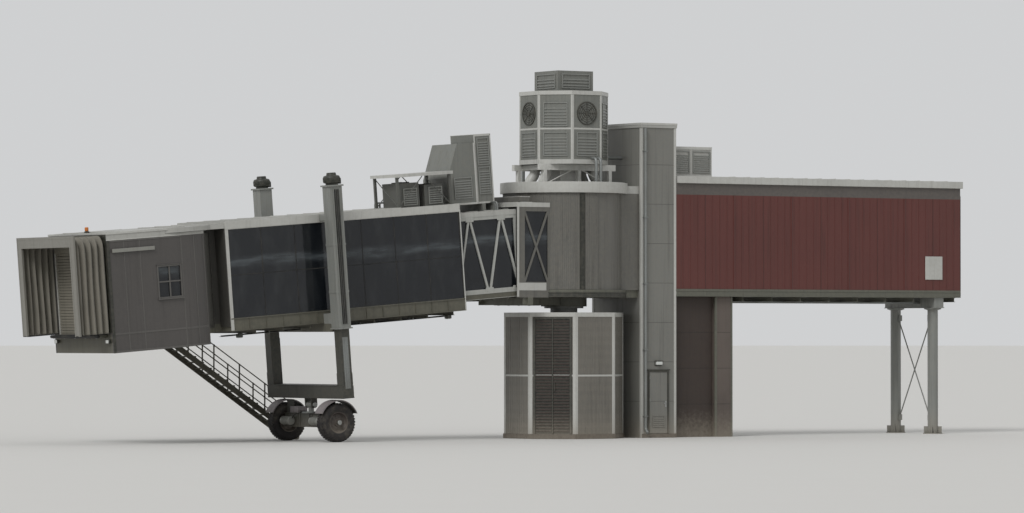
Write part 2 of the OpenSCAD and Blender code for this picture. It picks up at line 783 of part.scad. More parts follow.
// Inner legs joined by the cross beam, with the lugs for the trim pin
module lift_legs() color(dark_steel) tunnel_frame() difference() {
    union() {
        both_sides() block([-lift_u - leg_w / 2, lift_y - leg_w / 2, beam_local],
            [-lift_u + leg_w / 2, lift_y + leg_w / 2, leg_top]);
        block([-lift_u - beam_h / 2, -lift_y - leg_w / 2, beam_local - beam_h / 2],
            [-lift_u + beam_h / 2, lift_y + leg_w / 2, beam_local + beam_h / 2]);
        both_sides() {
            block([-lift_u - 110, 160, trim_local], [-lift_u + 110, 210, beam_local]);
            translate([-lift_u, 210, trim_local]) rotate([90, 0, 0]) cylinder(r = 110, h = 50);
        }
    }
    translate([-lift_u, big / 2, trim_local]) rotate([90, 0, 0])
        cylinder(d = 100 + 2 * seat, h = big);
}

// Pivot block with its cross pin and king pin
module bogie_saddle() color(steel_grey) translate([bogie_x, 0, trim_z]) {
    translate([0, 240, 0]) rotate([90, 0, 0]) cylinder(d = 100, h = 480);
    translate([0, 150, 0]) rotate([90, 0, 0]) cylinder(d = 220, h = 300);
    translate([0, 0, -600]) cylinder(d = 180, h = 600);
    translate([0, 0, frame_top - trim_z + seat]) cylinder(d = 420, h = 60);
}

// Bogie beam with axle stubs and mudguards
module bogie_frame() color(dark_steel) translate([bogie_x, 0, 0]) {
    inner = track_y - tyre_w / 2 - 60;
    difference() {
        block([-220, -inner, 480], [220, inner, frame_top]);
        cylinder(d = 180 + 2 * seat, h = big);
    }
    both_sides() {
        translate([0, track_y + tyre_w / 2 + 30, axle_z]) rotate([90, 0, 0])
            cylinder(d = 140, h = tyre_w + 90 + eps);
        translate([0, track_y + tyre_w / 2 + 10, axle_z]) rotate([90, 0, 0])
            arc_wall(axle_z + 80, 20, 25, 130, 0, tyre_w + 20);
        block([-120, inner - eps, axle_z + 200], [120, inner + 25, axle_z + axle_z + 70]);
        block([-120, inner - eps, axle_z + axle_z + 62], [120, track_y - tyre_w / 2 + 10,
            axle_z + axle_z + 78]);
    }
}

// A tyre with its rim, bored for the axle
module wheel(y) color(rubber) translate([bogie_x, y, axle_z]) rotate([90, 0, 0]) {
    r = axle_z;
    h = tyre_w / 2;
    rotate_extrude() difference() {
        polygon([[70 + seat, -150], [330, -150], [360, -h + 20], [420, -h], [r - 70, -h],
            [r - 15, -h + 55], [r, -h + 110], [r, h - 110], [r - 15, h - 55], [r - 70, h],
            [420, h], [360, h - 20], [330, 150], [70 + seat, 150]]);
    }
}

module near_wheel() wheel(-track_y);
module far_wheel() wheel(track_y);

// A handrail with posts along a straight line: start, end, and the number of posts
module rail(from, to, posts, high, mid) {
    dx = (to[0] - from[0]);
    dy = (to[1] - from[1]);
    dz = (to[2] - from[2]);
    along_x = abs(dx) > abs(dy);
    for (i = [0 : posts - 1]) {
        f = i / (posts - 1);
        translate([from[0] + f * dx - 18, from[1] + f * dy - 18, from[2] + f * dz])
            cube([36, 36, high]);
    }
    for (h = [mid, high])
        if (along_x) bar_xz(from[0] - 14, from[2] + h, to[0] + 14, to[2] + h, 30,
            from[1] - 15, from[1] + 15);
        else block([from[0] - 12, min(from[1], to[1]) - 14, from[2] + h - 15],
            [from[0] + 12, max(from[1], to[1]) + 14, from[2] + h + 15]);
}

// Walkway outside the landing door, its brackets, rails and the stair shaft
module landing() color(dark_steel) tunnel_frame() {
    z0 = deck_b - landing_t;
    walk_out = stair_in - 55;
    beam_y = walk_out - 350;
    edge = -stair_u - 70;
    difference() {
        union() {
            block([-landing_front, walk_in, z0], [-walk_from, walk_out, deck_b]);
            block([-landing_front, walk_out - eps, z0], [edge, stair_in + stair_w, deck_b]);
            block([-landing_front, beam_y, z0 - 150], [-walk_from, beam_y + 100, z0 + eps]);
        }
        translate([-cab_u, 0, b_bottom]) cylinder(r = bubble_r + 150, h = big);
    }
    for (x = [-walk_from - 1000, -walk_from - 100])
        block([x, b_w / 2, z0 - 150], [x + 100, walk_out, z0 + eps]);
    block([-landing_front, beam_y + 90, z0 - 150],
        [-landing_front + 80, stair_in + stair_w, z0 + eps]);
    for (y = [stair_in + 60, stair_in + stair_w - 100]) {
        block([edge - 120, y, stair_pin_z - 40], [edge + eps, y + 40, z0 + eps]);
        block([edge, y, stair_pin_z - 40], [-stair_u + 30, y + 40, z0]);
    }
    translate([-stair_u, stair_in + stair_w + 15, stair_pin_z]) rotate([90, 0, 0])
        cylinder(d = 50, h = stair_w + 30);
    rail([-stair_u + 150, walk_out - 25, deck_b - eps], [-walk_from - 30, walk_out - 25, deck_b - eps],
        3, 1050, 550);
    rail([-landing_front + 25, beam_y + 80, deck_b - eps],
        [-landing_front + 25, stair_in + stair_w - 25, deck_b - eps], 2, 1050, 550);
    rail([-landing_front + 25, stair_in + stair_w - 25, deck_b - eps],
        [edge - 60, stair_in + stair_w - 25, deck_b - eps], 2, 1050, 550);
    rail([-walk_from - 30, walk_in + 40, deck_b - eps], [-walk_from - 30, walk_out - 25, deck_b - eps],
        2, 1050, 550);
}

// Closed leaf of the landing door
module landing_door() color(cab_grey) tunnel_frame()
    block([-b_front + door_back, b_w / 2 - skin + 8, sill],
        [-b_front + door_back + door_w, b_w / 2 - 14, door_top]);

// Stair flight with stringers, treads, handrails and foot rollers
module stair() color(dark_steel) {
    x0 = -hinge_l - stair_u * cos(slope) - stair_pin_z * sin(slope);
    z0 = pivot_z - stair_u * sin(slope) + stair_pin_z * cos(slope);
    foot_r = 90;
    drop = z0 - foot_r;
    for (y = [stair_in, stair_in + stair_w - 40]) difference() {
        union() {
            bar_xz(x0, z0, x0 + stair_run, foot_r, 180, y, y + 40);
            translate([x0, y + 42, z0]) rotate([90, 0, 0]) cylinder(r = 60, h = 44);
        }
        translate([x0, y + 43, z0]) rotate([90, 0, 0]) cylinder(d = 50 + 2 * seat, h = 46);
    }
    for (i = [1 : steps]) {
        f = (i - 0.2) / (steps + 0.6);
        translate([x0 + f * stair_run - 20, stair_in + 40 - eps, z0 - f * drop - 20])
            cube([250, stair_w - 80 + 2 * eps, 40]);
    }
    for (y = [stair_in + 20, stair_in + stair_w - 20])
        rail([x0 + 350, y, z0 - 350 * drop / stair_run],
            [x0 + stair_run - 250, y, foot_r + 250 * drop / stair_run], 6, 950, 500);
    for (y = [stair_in - 10, stair_in + stair_w - 70])
        translate([x0 + stair_run, y + 80, foot_r]) rotate([90, 0, 0]) cylinder(r = foot_r, h = 80);
}

rotunda_column();
column_cladding();
rotunda_floor();
rotunda_roof();
rotunda_walls();
roof_unit_frame();
roof_unit();
tower_side_walls();
tower_end_walls();
tower_roof();
link_floor();
link_roof();
link_near_wall();
link_far_wall();
link_pier();
link_support();
link_roof_unit();
swing_frame();
swing_hood();
swing_glass();
swing_curtains();
middle_curtains();
a_floor();
a_roof();
a_near_side();
a_far_side();
a_glass();
a_roof_unit();
b_floor();
b_roof();
b_near_side();
b_far_side();
b_glass();
b_roof_rack();
bubble_floor();
bubble_roof();
bubble_walls();
bubble_curtains();
lift_columns();
column_heads();
lift_legs();
bogie_saddle();
bogie_frame();
near_wheel();
far_wheel();
landing();
landing_door();
stair();
cab_floor();
cab_roof();
cab_near_wall();
cab_far_wall();
cab_window();
cab_shutter();
canopy_bellows();
canopy_hoop();
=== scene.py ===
from math import cos, pi, radians, sin, sqrt

import bpy
from mathutils import Matrix, Vector, noise


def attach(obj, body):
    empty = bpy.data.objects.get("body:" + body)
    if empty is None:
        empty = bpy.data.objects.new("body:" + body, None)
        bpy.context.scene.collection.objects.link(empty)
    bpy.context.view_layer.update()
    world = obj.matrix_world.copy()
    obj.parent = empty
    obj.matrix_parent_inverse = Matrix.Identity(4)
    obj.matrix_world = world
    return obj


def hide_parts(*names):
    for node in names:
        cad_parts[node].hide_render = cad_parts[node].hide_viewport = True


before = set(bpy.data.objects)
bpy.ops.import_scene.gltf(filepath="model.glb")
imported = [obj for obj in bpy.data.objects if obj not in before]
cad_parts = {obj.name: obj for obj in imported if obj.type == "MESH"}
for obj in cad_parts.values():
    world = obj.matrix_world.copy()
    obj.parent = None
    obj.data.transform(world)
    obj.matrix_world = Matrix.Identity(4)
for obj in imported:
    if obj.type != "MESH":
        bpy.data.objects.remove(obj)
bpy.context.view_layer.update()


# Places. A piece is modelled in one of these frames, and its place then goes into its mesh.

site = {
    "slope": radians(4.5),        # of the tunnels, down toward the cab
    "hinge": (-2.4, 0, 4.8),      # pitch hinge of the tunnels
    "cabReach": 13.0,             # from the hinge to the turning centre of the cab
    "bogie": -9.738588,           # middle of the bogie along X
}
ground = Matrix.Identity(4)


def at(x, y=0, z=0):
    return Matrix.Translation((x, y, z))


def turned(angle):                                 # about Z, in degrees
    return Matrix.Rotation(radians(angle), 4, "Z")


tunnelFrame = at(*site["hinge"]) @ Matrix.Rotation(-site["slope"], 4, "Y")
cabFrame = tunnelFrame @ at(-site["cabReach"])
bogieFrame = at(site["bogie"])
onSide = Matrix.Rotation(pi / 2, 4, "X")           # what was spun about Z then lies across
facingX = Matrix.Rotation(pi / 2, 4, "Y")
otherSide = Matrix.Scale(-1, 4, (0, 1, 0))


def mirrored(boxes):                               # the same boxes on both sides of the centre
    return boxes + [((a[0], -b[1], a[2]), (b[0], -a[1], b[2])) for a, b in boxes]


# Modelling


def alone(obj):                                    # selected alone, and active
    bpy.ops.object.select_all(action="DESELECT")
    obj.select_set(True)
    bpy.context.view_layer.objects.active = obj
    return obj


def edit(obj, *steps):                             # runs edit mode steps on the whole mesh
    alone(obj)
    bpy.ops.object.mode_set(mode="EDIT")
    bpy.ops.mesh.select_all(action="SELECT")
    for step in steps:
        step()
    bpy.ops.object.mode_set(mode="OBJECT")
    return obj


def united(objs):                                  # joined into one mesh at the origin
    bpy.ops.object.select_all(action="DESELECT")
    for obj in objs:
        obj.select_set(True)
    bpy.context.view_layer.objects.active = objs[0]
    if len(objs) > 1:
        bpy.ops.object.join()
    bpy.ops.object.transform_apply(location=True, rotation=True, scale=True)
    return bpy.context.view_layer.objects.active


def eased(obj, width, segments=1):                 # bevels the edges that a hand would feel
    return edit(
        obj,
        lambda: bpy.ops.mesh.select_mode(type="EDGE"),
        lambda: bpy.ops.mesh.select_all(action="DESELECT"),
        lambda: bpy.ops.mesh.edges_select_sharp(sharpness=radians(25)),
        lambda: bpy.ops.mesh.bevel(offset=width, segments=segments, affect="EDGES",
                                   clamp_overlap=True),
        lambda: bpy.ops.mesh.select_mode(type="VERT"))


def bricks(boxes, ease=0.003, segments=1):         # boxes between two corners, edges eased
    made = []
    for i, (low, high) in enumerate(boxes):
        more = i % 31 * 0.00004                     # so that no two faces lie in one plane
        size = [b - a + more for a, b in zip(low, high)]
        bpy.ops.mesh.primitive_cube_add(
            size=1, location=[(a + b) / 2 for a, b in zip(low, high)], scale=size)
        made.append(bpy.context.object)
    return eased(united(made), ease, segments)


def rods(lines, radius, sides=12, ease=0.0):       # straight round bars between two points
    made = []
    for start, end in lines:
        way = Vector(end) - Vector(start)
        bpy.ops.mesh.primitive_cylinder_add(
            vertices=sides, radius=radius, depth=way.length,
            location=(Vector(start) + Vector(end)) / 2,
            rotation=way.to_track_quat("Z", "Y").to_euler())
        made.append(bpy.context.object)
    obj = united(made)
    return eased(obj, ease) if ease else obj


def bent(points, radius, sides=10, closed=False):  # a round tube along a line with soft bends
    line = bpy.data.curves.new("tube", "CURVE")
    line.dimensions = "3D"
    line.bevel_depth = radius
    line.bevel_resolution = max(sides // 4, 1)
    line.use_fill_caps = True
    spline = line.splines.new("POLY")
    soft = softened(points, radius * 3)
    spline.points.add(len(soft) - 1)
    for point, spot in zip(spline.points, soft):
        point.co = (*spot, 1)
    spline.use_cyclic_u = closed
    obj = bpy.data.objects.new("tube", line)
    bpy.context.scene.collection.objects.link(obj)
    alone(obj)
    bpy.ops.object.convert(target="MESH")
    return edit(bpy.context.object,                 # joins the caps to the tube
                lambda: bpy.ops.mesh.remove_doubles(threshold=0.0001))


def softened(points, reach, steps=4):              # corners rounded into short arcs
    points = [Vector(p) for p in points]
    soft = [points[0]]
    for before, here, after in zip(points, points[1:], points[2:]):
        near = min(reach, (here - before).length * 0.45, (after - here).length * 0.45)
        start = here + (before - here).normalized() * near
        end = here + (after - here).normalized() * near
        for i in range(steps + 1):
            t = i / steps
            soft.append((1 - t) ** 2 * start + 2 * t * (1 - t) * here + t ** 2 * end)
    soft.append(points[-1])
    return soft


def spun(profile, steps=48, angle=360, closed=True, start=0):   # a profile of radius and height
    ring = [(r * cos(radians(start)), r * sin(radians(start)), z) for r, z in profile]
    edges = [(i, i + 1) for i in range(len(ring) - 1)]
    if closed:
        edges.append((len(ring) - 1, 0))
    mesh = bpy.data.meshes.new("turned")
    mesh.from_pydata(ring, edges, [])
    obj = bpy.data.objects.new("turned", mesh)
    bpy.context.scene.collection.objects.link(obj)
    return edit(
        obj,
        lambda: bpy.ops.mesh.spin(steps=steps, angle=-radians(angle), center=(0, 0, 0),
                                  axis=(0, 0, 1)),
        lambda: bpy.ops.mesh.select_all(action="SELECT"),
        lambda: bpy.ops.mesh.remove_doubles(threshold=0.0001),
        lambda: bpy.ops.mesh.fill_holes(sides=0),   # the two ends of a part turn
        lambda: bpy.ops.mesh.normals_make_consistent(inside=False))


def hoop(inner, outer, low, high, steps=32, **turn):   # a flat ring
    return spun([(inner, low), (outer, low), (outer, high), (inner, high)], steps, **turn)


def repeated(obj, places):                         # one copy at each place, each with its own mesh
    copies = []
    for place in places:
        copy = obj.copy()
        copy.data = obj.data.copy()
        copy.matrix_world = place @ obj.matrix_world
        bpy.context.scene.collection.objects.link(copy)
        copies.append(copy)
    bpy.data.objects.remove(obj)
    return united(copies)


def moved(obj, place):                             # the place goes into the mesh
    alone(obj)
    obj.matrix_world = place @ obj.matrix_world
    bpy.ops.object.transform_apply(location=True, rotation=True, scale=True)
    return obj


def dressed(obj, name, finish, body, place, smooth):
    moved(obj, place)
    obj.name = obj.data.name = name
    obj.data.materials.clear()
    obj.data.materials.append(finish)
    alone(obj)
    bpy.ops.object.shade_smooth_by_angle(angle=radians(smooth))
    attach(obj, body)
    return obj


# Materials


def tint(code, gain=1.0):                          # a written colour as linear light
    parts = [int(code[i:i + 2], 16) / 255 for i in (1, 3, 5)]
    linear = [c / 12.92 if c <= 0.04045 else ((c + 0.055) / 1.055) ** 2.4 for c in parts]
    return (*[min(c * gain, 1) for c in linear], 1)


class Wire:                                        # a socket; sums on it add Math nodes
    def __init__(self, paint, socket):
        self.paint, self.socket = paint, socket

    def sum(self, operation, first, second):
        return self.paint.node("ShaderNodeMath", {"operation": operation}, {0: first, 1: second})

    def __add__(self, other):
        return self.sum("ADD", self, other)

    def __mul__(self, other):
        return self.sum("MULTIPLY", self, other)

    def __rmul__(self, other):
        return self.sum("MULTIPLY", other, self)

    def __sub__(self, other):
        return self.sum("SUBTRACT", self, other)

    def __rsub__(self, other):
        return self.sum("SUBTRACT", other, self)


class Paint:                                       # one material and its nodes
    def __init__(self, name, tilted=False):
        self.material = bpy.data.materials.new(name)
        self.material.use_nodes = True
        self.tree = self.material.node_tree
        self.shader = self.tree.nodes["Principled BSDF"]
        self.spot = self.node("ShaderNodeTexCoord", output="Object")
        if tilted:                                 # measured along the sloping tunnels
            self.spot = self.node("ShaderNodeMapping", {"vector_type": "TEXTURE"}, {
                "Vector": self.spot, "Location": site["hinge"],
                "Rotation": (0, -site["slope"], 0)})

    def node(self, kind, settings=None, sockets=None, output=0):
        made = self.tree.nodes.new(kind)
        for key, value in (settings or {}).items():
            setattr(made, key, value)
        for key, value in (sockets or {}).items():
            self.feed(made.inputs[key], value)
        return Wire(self, made.outputs[output])

    def feed(self, socket, value):
        if isinstance(value, Wire):
            self.tree.links.new(value.socket, socket)
        else:
            socket.default_value = value

    def shade(self, **values):                     # sockets of the shader, by name
        for key, value in values.items():
            self.feed(self.shader.inputs[key.replace("_", " ")], value)
        return self

    def axis(self, name):
        return self.node("ShaderNodeSeparateXYZ", None, {0: self.spot}, name)

    def noise(self, scale, stretch=(1, 1, 1), detail=3.0, rough=0.55):
        where = self.spot
        if stretch != (1, 1, 1):
            where = self.node("ShaderNodeMapping", None, {"Vector": where, "Scale": stretch})
        return self.node("ShaderNodeTexNoise", None, {
            "Vector": where, "Scale": scale, "Detail": detail, "Roughness": rough})

    def between(self, value, low, high, start=0.0, end=1.0):   # a soft step
        return self.node("ShaderNodeMapRange", {"interpolation_type": "SMOOTHSTEP"}, {
            "Value": value, "From Min": low, "From Max": high, "To Min": start, "To Max": end})

    def groove(self, value, pitch, width, shift=0.0):          # 1 in a line at every pitch
        away = (value + shift).sum("PINGPONG", value + shift, pitch / 2)
        return self.between(away, width * 0.35, width * 0.65, 1.0, 0.0)

    def mix(self, mask, first, second):
        return self.node("ShaderNodeMix", {"data_type": "RGBA"},
                         {0: mask, 6: first, 7: second}, 2)

    def bump(self, height, distance, strength=1.0):
        return self.node("ShaderNodeBump", None, {
            "Height": height, "Distance": distance, "Strength": strength})


weather = {
    "dust": "#8d8577",            # settled dust and dried splashes
    "grime": "#24221f",           # rain streaks and joints
    "dustHeight": 1.6,            # how far up the apron's dust reaches, in metres
}


def painted(name, code, tilted=False, rough=0.42, joints=(), streak=0.32, beyond=None,
            ripple=None, grain=0.16, blotch=0.3):
    # joints: (axis, pitch, width, shift). ripple: (axis, pitch, depth), its bands also darkened as
    # painted shade.
    # beyond: (axis, place, colour)
    paint = Paint(name, tilted)
    base = tint(code)
    if beyond:
        axis, place, second = beyond
        base = paint.mix(paint.between(paint.axis(axis), place - 0.01, place + 0.01),
                         base, tint(second))
    wide = paint.noise(0.55, detail=4.0)
    fine = paint.noise(9.0, detail=5.0, rough=0.6)
    colour = paint.mix(paint.between(wide, 0.35, 0.7, 0.0, blotch), base, tint(code, 0.72))
    runs = paint.noise(1.0, (5.5, 5.5, 0.22), detail=6.0, rough=0.7)
    lines = paint.noise(1.0, (21.0, 21.0, 0.5), detail=3.0)
    dirt = paint.between(runs * 0.62 + lines * 0.38, 0.47, 0.72, 0.0, streak)
    colour = paint.mix(dirt, colour, tint(weather["grime"]))
    height = paint.node("ShaderNodeSeparateXYZ", None, {
        0: paint.node("ShaderNodeTexCoord", output="Object")}, "Z")
    low = paint.between(height + fine * 1.1, 0.25, weather["dustHeight"], 0.6, 0.0)
    colour = paint.mix(low, colour, tint(weather["dust"]))
    colour = paint.mix(paint.between(fine, 0.3, 0.75, 0.0, grain), colour, tint(weather["dust"]))
    relief = fine * 0.25
    for axis, pitch, width, shift in joints:
        line = paint.groove(paint.axis(axis), pitch, width, shift)
        colour = paint.mix(line * 0.72, colour, tint(weather["grime"]))
        relief = relief - line * 3.0
    if ripple:
        axis, pitch, depth = ripple
        wave = paint.groove(paint.axis(axis), pitch, pitch * 0.5)
        relief = relief + wave * depth
        # every other band of the ripple darker: painted shade of the corrugation
        colour = paint.mix(wave * 0.12, colour, tint(code, 0.55))
    paint.shade(
        Base_Color=colour,
        Roughness=paint.between(fine + dirt * 0.6, 0.2, 0.9, rough - 0.08, rough + 0.22),
        Normal=paint.bump(relief, 0.002, 0.55))
    return paint.material


def tintedGlass(name, code, tilted=True):
    paint = Paint(name, tilted)
    wavy = paint.noise(0.8, (1, 1, 1), detail=1.5)
    film = paint.noise(2.2, (1.0, 1.0, 0.35), detail=5.0, rough=0.65)
    haze = paint.between(film, 0.42, 0.75, 0.0, 0.13)
    colour = paint.mix(haze, tint(code), tint("#5c5f60"))
    # a paler band at mid-height, broken into streaks: painted reflection
    height = paint.axis("Z") + (paint.noise(0.35, (1.0, 1.0, 1.0), detail=3.0) - 0.5) * 0.5
    reflectionBand = paint.between(height, 1.5, 1.72) * paint.between(height, 1.78, 1.98, 1.0, 0.0)
    reflectionStreaks = paint.noise(1.0, (0.9, 0.9, 5.0), detail=4.0)
    colour = paint.mix(reflectionBand * paint.between(reflectionStreaks, 0.35, 0.7, 0.05, 0.3), colour, tint("#7d868a"))
    paint.shade(Base_Color=colour, Roughness=paint.between(film, 0.3, 0.8, 0.05, 0.2),
                Normal=paint.bump(wavy, 0.05, 0.35), Alpha=0.93)
    paint.shader.inputs["IOR"].default_value = 1.5
    return paint.material


def fabric(name, code, tilted=True):
    paint = Paint(name, tilted)
    soft = paint.noise(1.1, detail=5.0)
    across = paint.node("ShaderNodeTexWave", {"wave_type": "BANDS", "bands_direction": "X"}, {
        "Vector": paint.spot, "Scale": 60.0, "Distortion": 0.4})
    along = paint.node("ShaderNodeTexWave", {"wave_type": "BANDS", "bands_direction": "Z"}, {
        "Vector": paint.spot, "Scale": 60.0, "Distortion": 0.4})
    weave = across * along
    stains = paint.noise(0.9, (4.0, 4.0, 0.35), detail=6.0, rough=0.7)
    colour = paint.mix(paint.between(soft, 0.3, 0.75, 0.0, 0.4), tint(code), tint(code, 0.7))
    colour = paint.mix(paint.between(stains, 0.5, 0.78, 0.0, 0.26), colour, tint("#45413a"))
    colour = paint.mix(weave * 0.12, colour, tint(code, 1.35))
    paint.shade(Base_Color=colour, Roughness=paint.between(weave, 0.0, 1.0, 0.92, 0.72),
                Normal=paint.bump(weave * 0.4 + soft, 0.004, 0.5))
    paint.shader.inputs["Sheen Weight"].default_value = 0.15
    return paint.material


def rubber(name, code, dust=0.35, rough=0.78):
    paint = Paint(name)
    worn = paint.noise(7.0, detail=6.0, rough=0.65)
    broad = paint.noise(1.6, detail=3.0)
    colour = paint.mix(paint.between(worn + broad, 0.85, 1.35, 0.0, dust),
                       tint(code), tint(weather["dust"], 0.6))
    paint.shade(Base_Color=colour, Roughness=paint.between(worn, 0.3, 0.75, rough - 0.1,
        rough + 0.1),
                Normal=paint.bump(worn, 0.002, 0.6))
    return paint.material


def galvanised(name, code, rough=0.4):
    paint = Paint(name)
    spangle = paint.node("ShaderNodeTexVoronoi", None, {"Vector": paint.spot, "Scale": 34.0},
                         "Distance")
    cloud = paint.noise(1.3, (1, 1, 0.5), detail=4.0)
    colour = paint.mix(spangle * 0.5, tint(code), tint(code, 0.68))
    colour = paint.mix(paint.between(cloud, 0.4, 0.75, 0.0, 0.4), colour, tint("#5d574c"))
    paint.shade(Base_Color=colour, Metallic=0.65,
                Roughness=paint.between(spangle + cloud, 0.3, 1.2, rough - 0.06, rough + 0.25),
                Normal=paint.bump(cloud + spangle * 0.2, 0.002, 0.3))
    return paint.material


def lens(name, code, glow=0.0):
    paint = Paint(name)
    ribs = paint.groove(paint.axis("Z"), 0.014, 0.006)
    paint.shade(Base_Color=paint.mix(ribs * 0.4, tint(code), tint(code, 0.5)), Roughness=0.18,
                Normal=paint.bump(ribs, 0.002, 0.5))
    paint.shader.inputs["Coat Weight"].default_value = 0.6
    if glow:
        paint.shade(Emission_Color=tint(code))
        paint.shader.inputs["Emission Strength"].default_value = glow
    return paint.material


def flooring(name, code, tilted=False):
    paint = Paint(name, tilted)
    studs = paint.node("ShaderNodeTexVoronoi", None, {"Vector": paint.spot, "Scale": 26.0},
                       "Distance")
    tread = paint.between(studs, 0.25, 0.4, 1.0, 0.0)
    worn = paint.noise(1.2, detail=5.0)
    colour = paint.mix(paint.between(worn, 0.35, 0.75, 0.0, 0.35), tint(code), tint("#6d675c"))
    paint.shade(Base_Color=colour, Roughness=paint.between(worn, 0.3, 0.7, 0.55, 0.8),
                Normal=paint.bump(tread, 0.003, 0.5))
    return paint.material


paints = {
    # the cladding's ripple has no depth: its darker bands are painted shade alone
    "cladding": painted("claddingPanels", "#6d6a63", ripple=("Z", 0.3, 0.0), streak=0.4),
    "drum": painted("drumPanels", "#63625d", streak=0.42),
    "tower": painted("towerPanels", "#757570", joints=[("Z", 1.31, 0.012, 0.1)], streak=0.3),
    "roof": painted("roofSheet", "#a8a8a3", rough=0.5, streak=0.18, blotch=0.45),
    "slopedRoof": painted("tunnelRoofSheet", "#a9a9a4", tilted=True, rough=0.5, streak=0.2,
                          blotch=0.45),
    # dark below z 8.5 on the fascia: painted shadow under the roof edge; the roof edge above is pale
    "linkRoof": painted("linkRoofSheet", "#55504d", beyond=("Z", 8.5, "#b9b8b4"), rough=0.5,
                        streak=0.12),
    "steel": painted("steelGrey", "#7f817d", rough=0.38),
    "unit": painted("airUnitGrey", "#70726d", rough=0.4),
    "lattice": painted("latticePaint", "#a5a6a1", tilted=True, rough=0.4, streak=0.22),
    "beam": painted("beamPaint", "#5a5b51", rough=0.48, streak=0.35),
    "slopedBeam": painted("tunnelBeamPaint", "#525146", tilted=True, rough=0.48, streak=0.35),
    "cab": painted("cabPanels", "#4b4846", tilted=True, streak=0.3, rough=0.4, grain=0.05),
    "slats": painted("cabSlats", "#42413d", tilted=True, streak=0.3, rough=0.4, grain=0.05),
    "cabTrim": painted("cabTrimPaint", "#565451", tilted=True, streak=0.25, grain=0.05),
    "cabRail": painted("cabRailPaint", "#85857f", tilted=True, streak=0.25),
    "hoop": painted("canopyFrame", "#7d7b74", tilted=True, streak=0.25, grain=0.05),
    "dark": painted("darkSteelPaint", "#34352f", rough=0.5, streak=0.25),
    "cap": painted("capPaint", "#232620", rough=0.42, streak=0.2),
    "duct": painted("ductSheet", "#c9c9c4", rough=0.36, streak=0.22),
    "red": painted("linkRed", "#5b2b26", rough=0.5, joints=[("X", 1.2, 0.012, 0.08)], streak=0.34,
                   grain=0.05),
    # dark brown: partly the pier's own colour, partly painted shadow under the link; paler past x
    # 5.22
    "pier": painted("pierBrownShaded", "#372d28", rough=0.62, beyond=("X", 5.22, "#5f5650"),
                    joints=[("Z", 1.2, 0.014, 0.1)], streak=0.25,
                    grain=0.06),
    "pale": painted("paleTrim", "#b7b7b2", rough=0.4, streak=0.18),
    "shutter": painted("shutterSlats", "#817d72", tilted=True, rough=0.46, streak=0.3),
    "lining": painted("innerLining", "#b4b2aa", rough=0.5, streak=0.08),
    "guard": painted("mudguardPaint", "#7f797a", rough=0.48, streak=0.3),
    "stairPaint": painted("stairSteel", "#413f34", rough=0.52, streak=0.3),
    "glass": tintedGlass("tintedGlass", "#15181c"),
    "rim": painted("wheelRim", "#332b2a", rough=0.5, streak=0.3),
    "rack": painted("rackFrame", "#50524e", tilted=True, beyond=("Z", 4.045, "#c2c2bd"),
                    streak=0.2),
    "fabric": fabric("canopyFabric", "#78746a"),
    "welt": fabric("canopyWelt", "#6a675e"),
    "tyre": rubber("tyreRubber", "#1d1a1a", dust=0.42),
    "seal": rubber("sealRubber", "#191919", dust=0.2),
    "zinc": galvanised("galvanisedSteel", "#8f9290"),
    "bright": galvanised("boltZinc", "#a4a6a3", rough=0.32),
    "amber": lens("amberLens", "#c8701c"),
    "clear": lens("lampLens", "#d8dad6"),
    "deck": flooring("deckRubber", "#3c3d3c"),
    "slopedDeck": flooring("tunnelDeckRubber", "#3c3d3c", tilted=True),
}

nodePaints = {
    "cladding": "column_cladding",
    "drum": "rotunda_walls swing_curtains middle_curtains swing_hood",
    "tower": "tower_side_walls tower_end_walls",
    "roof": "rotunda_roof tower_roof link_roof_unit",
    "slopedRoof": "a_roof b_roof bubble_roof cab_roof",
    "hoop": "canopy_hoop",
    "linkRoof": "link_roof",
    "steel": "rotunda_column link_support lift_columns bogie_saddle",
    "unit": "roof_unit a_roof_unit",
    "rack": "b_roof_rack",
    "lattice": "a_near_side a_far_side",
    "beam": "rotunda_floor link_floor swing_frame",
    "slopedBeam": "a_floor b_floor b_near_side b_far_side bubble_floor cab_floor",
    "cab": "cab_near_wall cab_far_wall landing_door",
    "slats": "bubble_curtains bubble_walls",
    "dark": "lift_legs bogie_frame",
    "cap": "column_heads",
    "stairPaint": "landing stair",
    "duct": "roof_unit_frame",
    "red": "link_near_wall link_far_wall",
    "pier": "link_pier",
    "glass": "swing_glass a_glass b_glass cab_window",
    "fabric": "canopy_bellows",
    "shutter": "cab_shutter",
    "tyre": "near_wheel far_wheel",
}
for finish, nodes in nodePaints.items():
    for node in nodes.split():
        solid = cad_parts[node]
        solid.data.materials.clear()
        solid.data.materials.append(paints[finish])
print("finishes on the CAD nodes")


def pieces(body, place=ground):                    # what finishes the pieces of one body
    def add(obj, name, finish, slot=None, place=place, smooth=30):
        return dressed(obj, name, paints[finish], body, place, smooth)
    return add


onBase = pieces("base")
onSwing = pieces("swing")
onInner = pieces("tunnel_a", tunnelFrame)
onOuter = pieces("tunnel_b", tunnelFrame)
onJoint = pieces("tunnel_b", cabFrame)
onLegs = pieces("legs", tunnelFrame)
onSaddle = pieces("saddle", bogieFrame)
onBogie = pieces("bogie", bogieFrame)
onCab = pieces("cab", cabFrame)
onStair = pieces("stair_body")


# Floor, light and camera

studio = {
    "floor": (0.60, 0.59, 0.565, 1),
    "floorGrain": (0.5, 0.49, 0.47, 1),
    "floorRadius": 1500,
    "sky": (0.80, 0.81, 0.82, 1),
    "skyStrength": 0.78,
    "sun": 1.5,
    "sunTurn": (48, 0, -62),       # degrees
    "sunWidth": 25,                # degrees, soft as under cloud
    "azimuth": -33.0,
    "eye": 3.4,                    # height of the camera
    "away": 165.0,
    "lens": 176.0,
    "clipEnd": 4000,
    "aim": (-2.05, 0.0, 6.0),
}


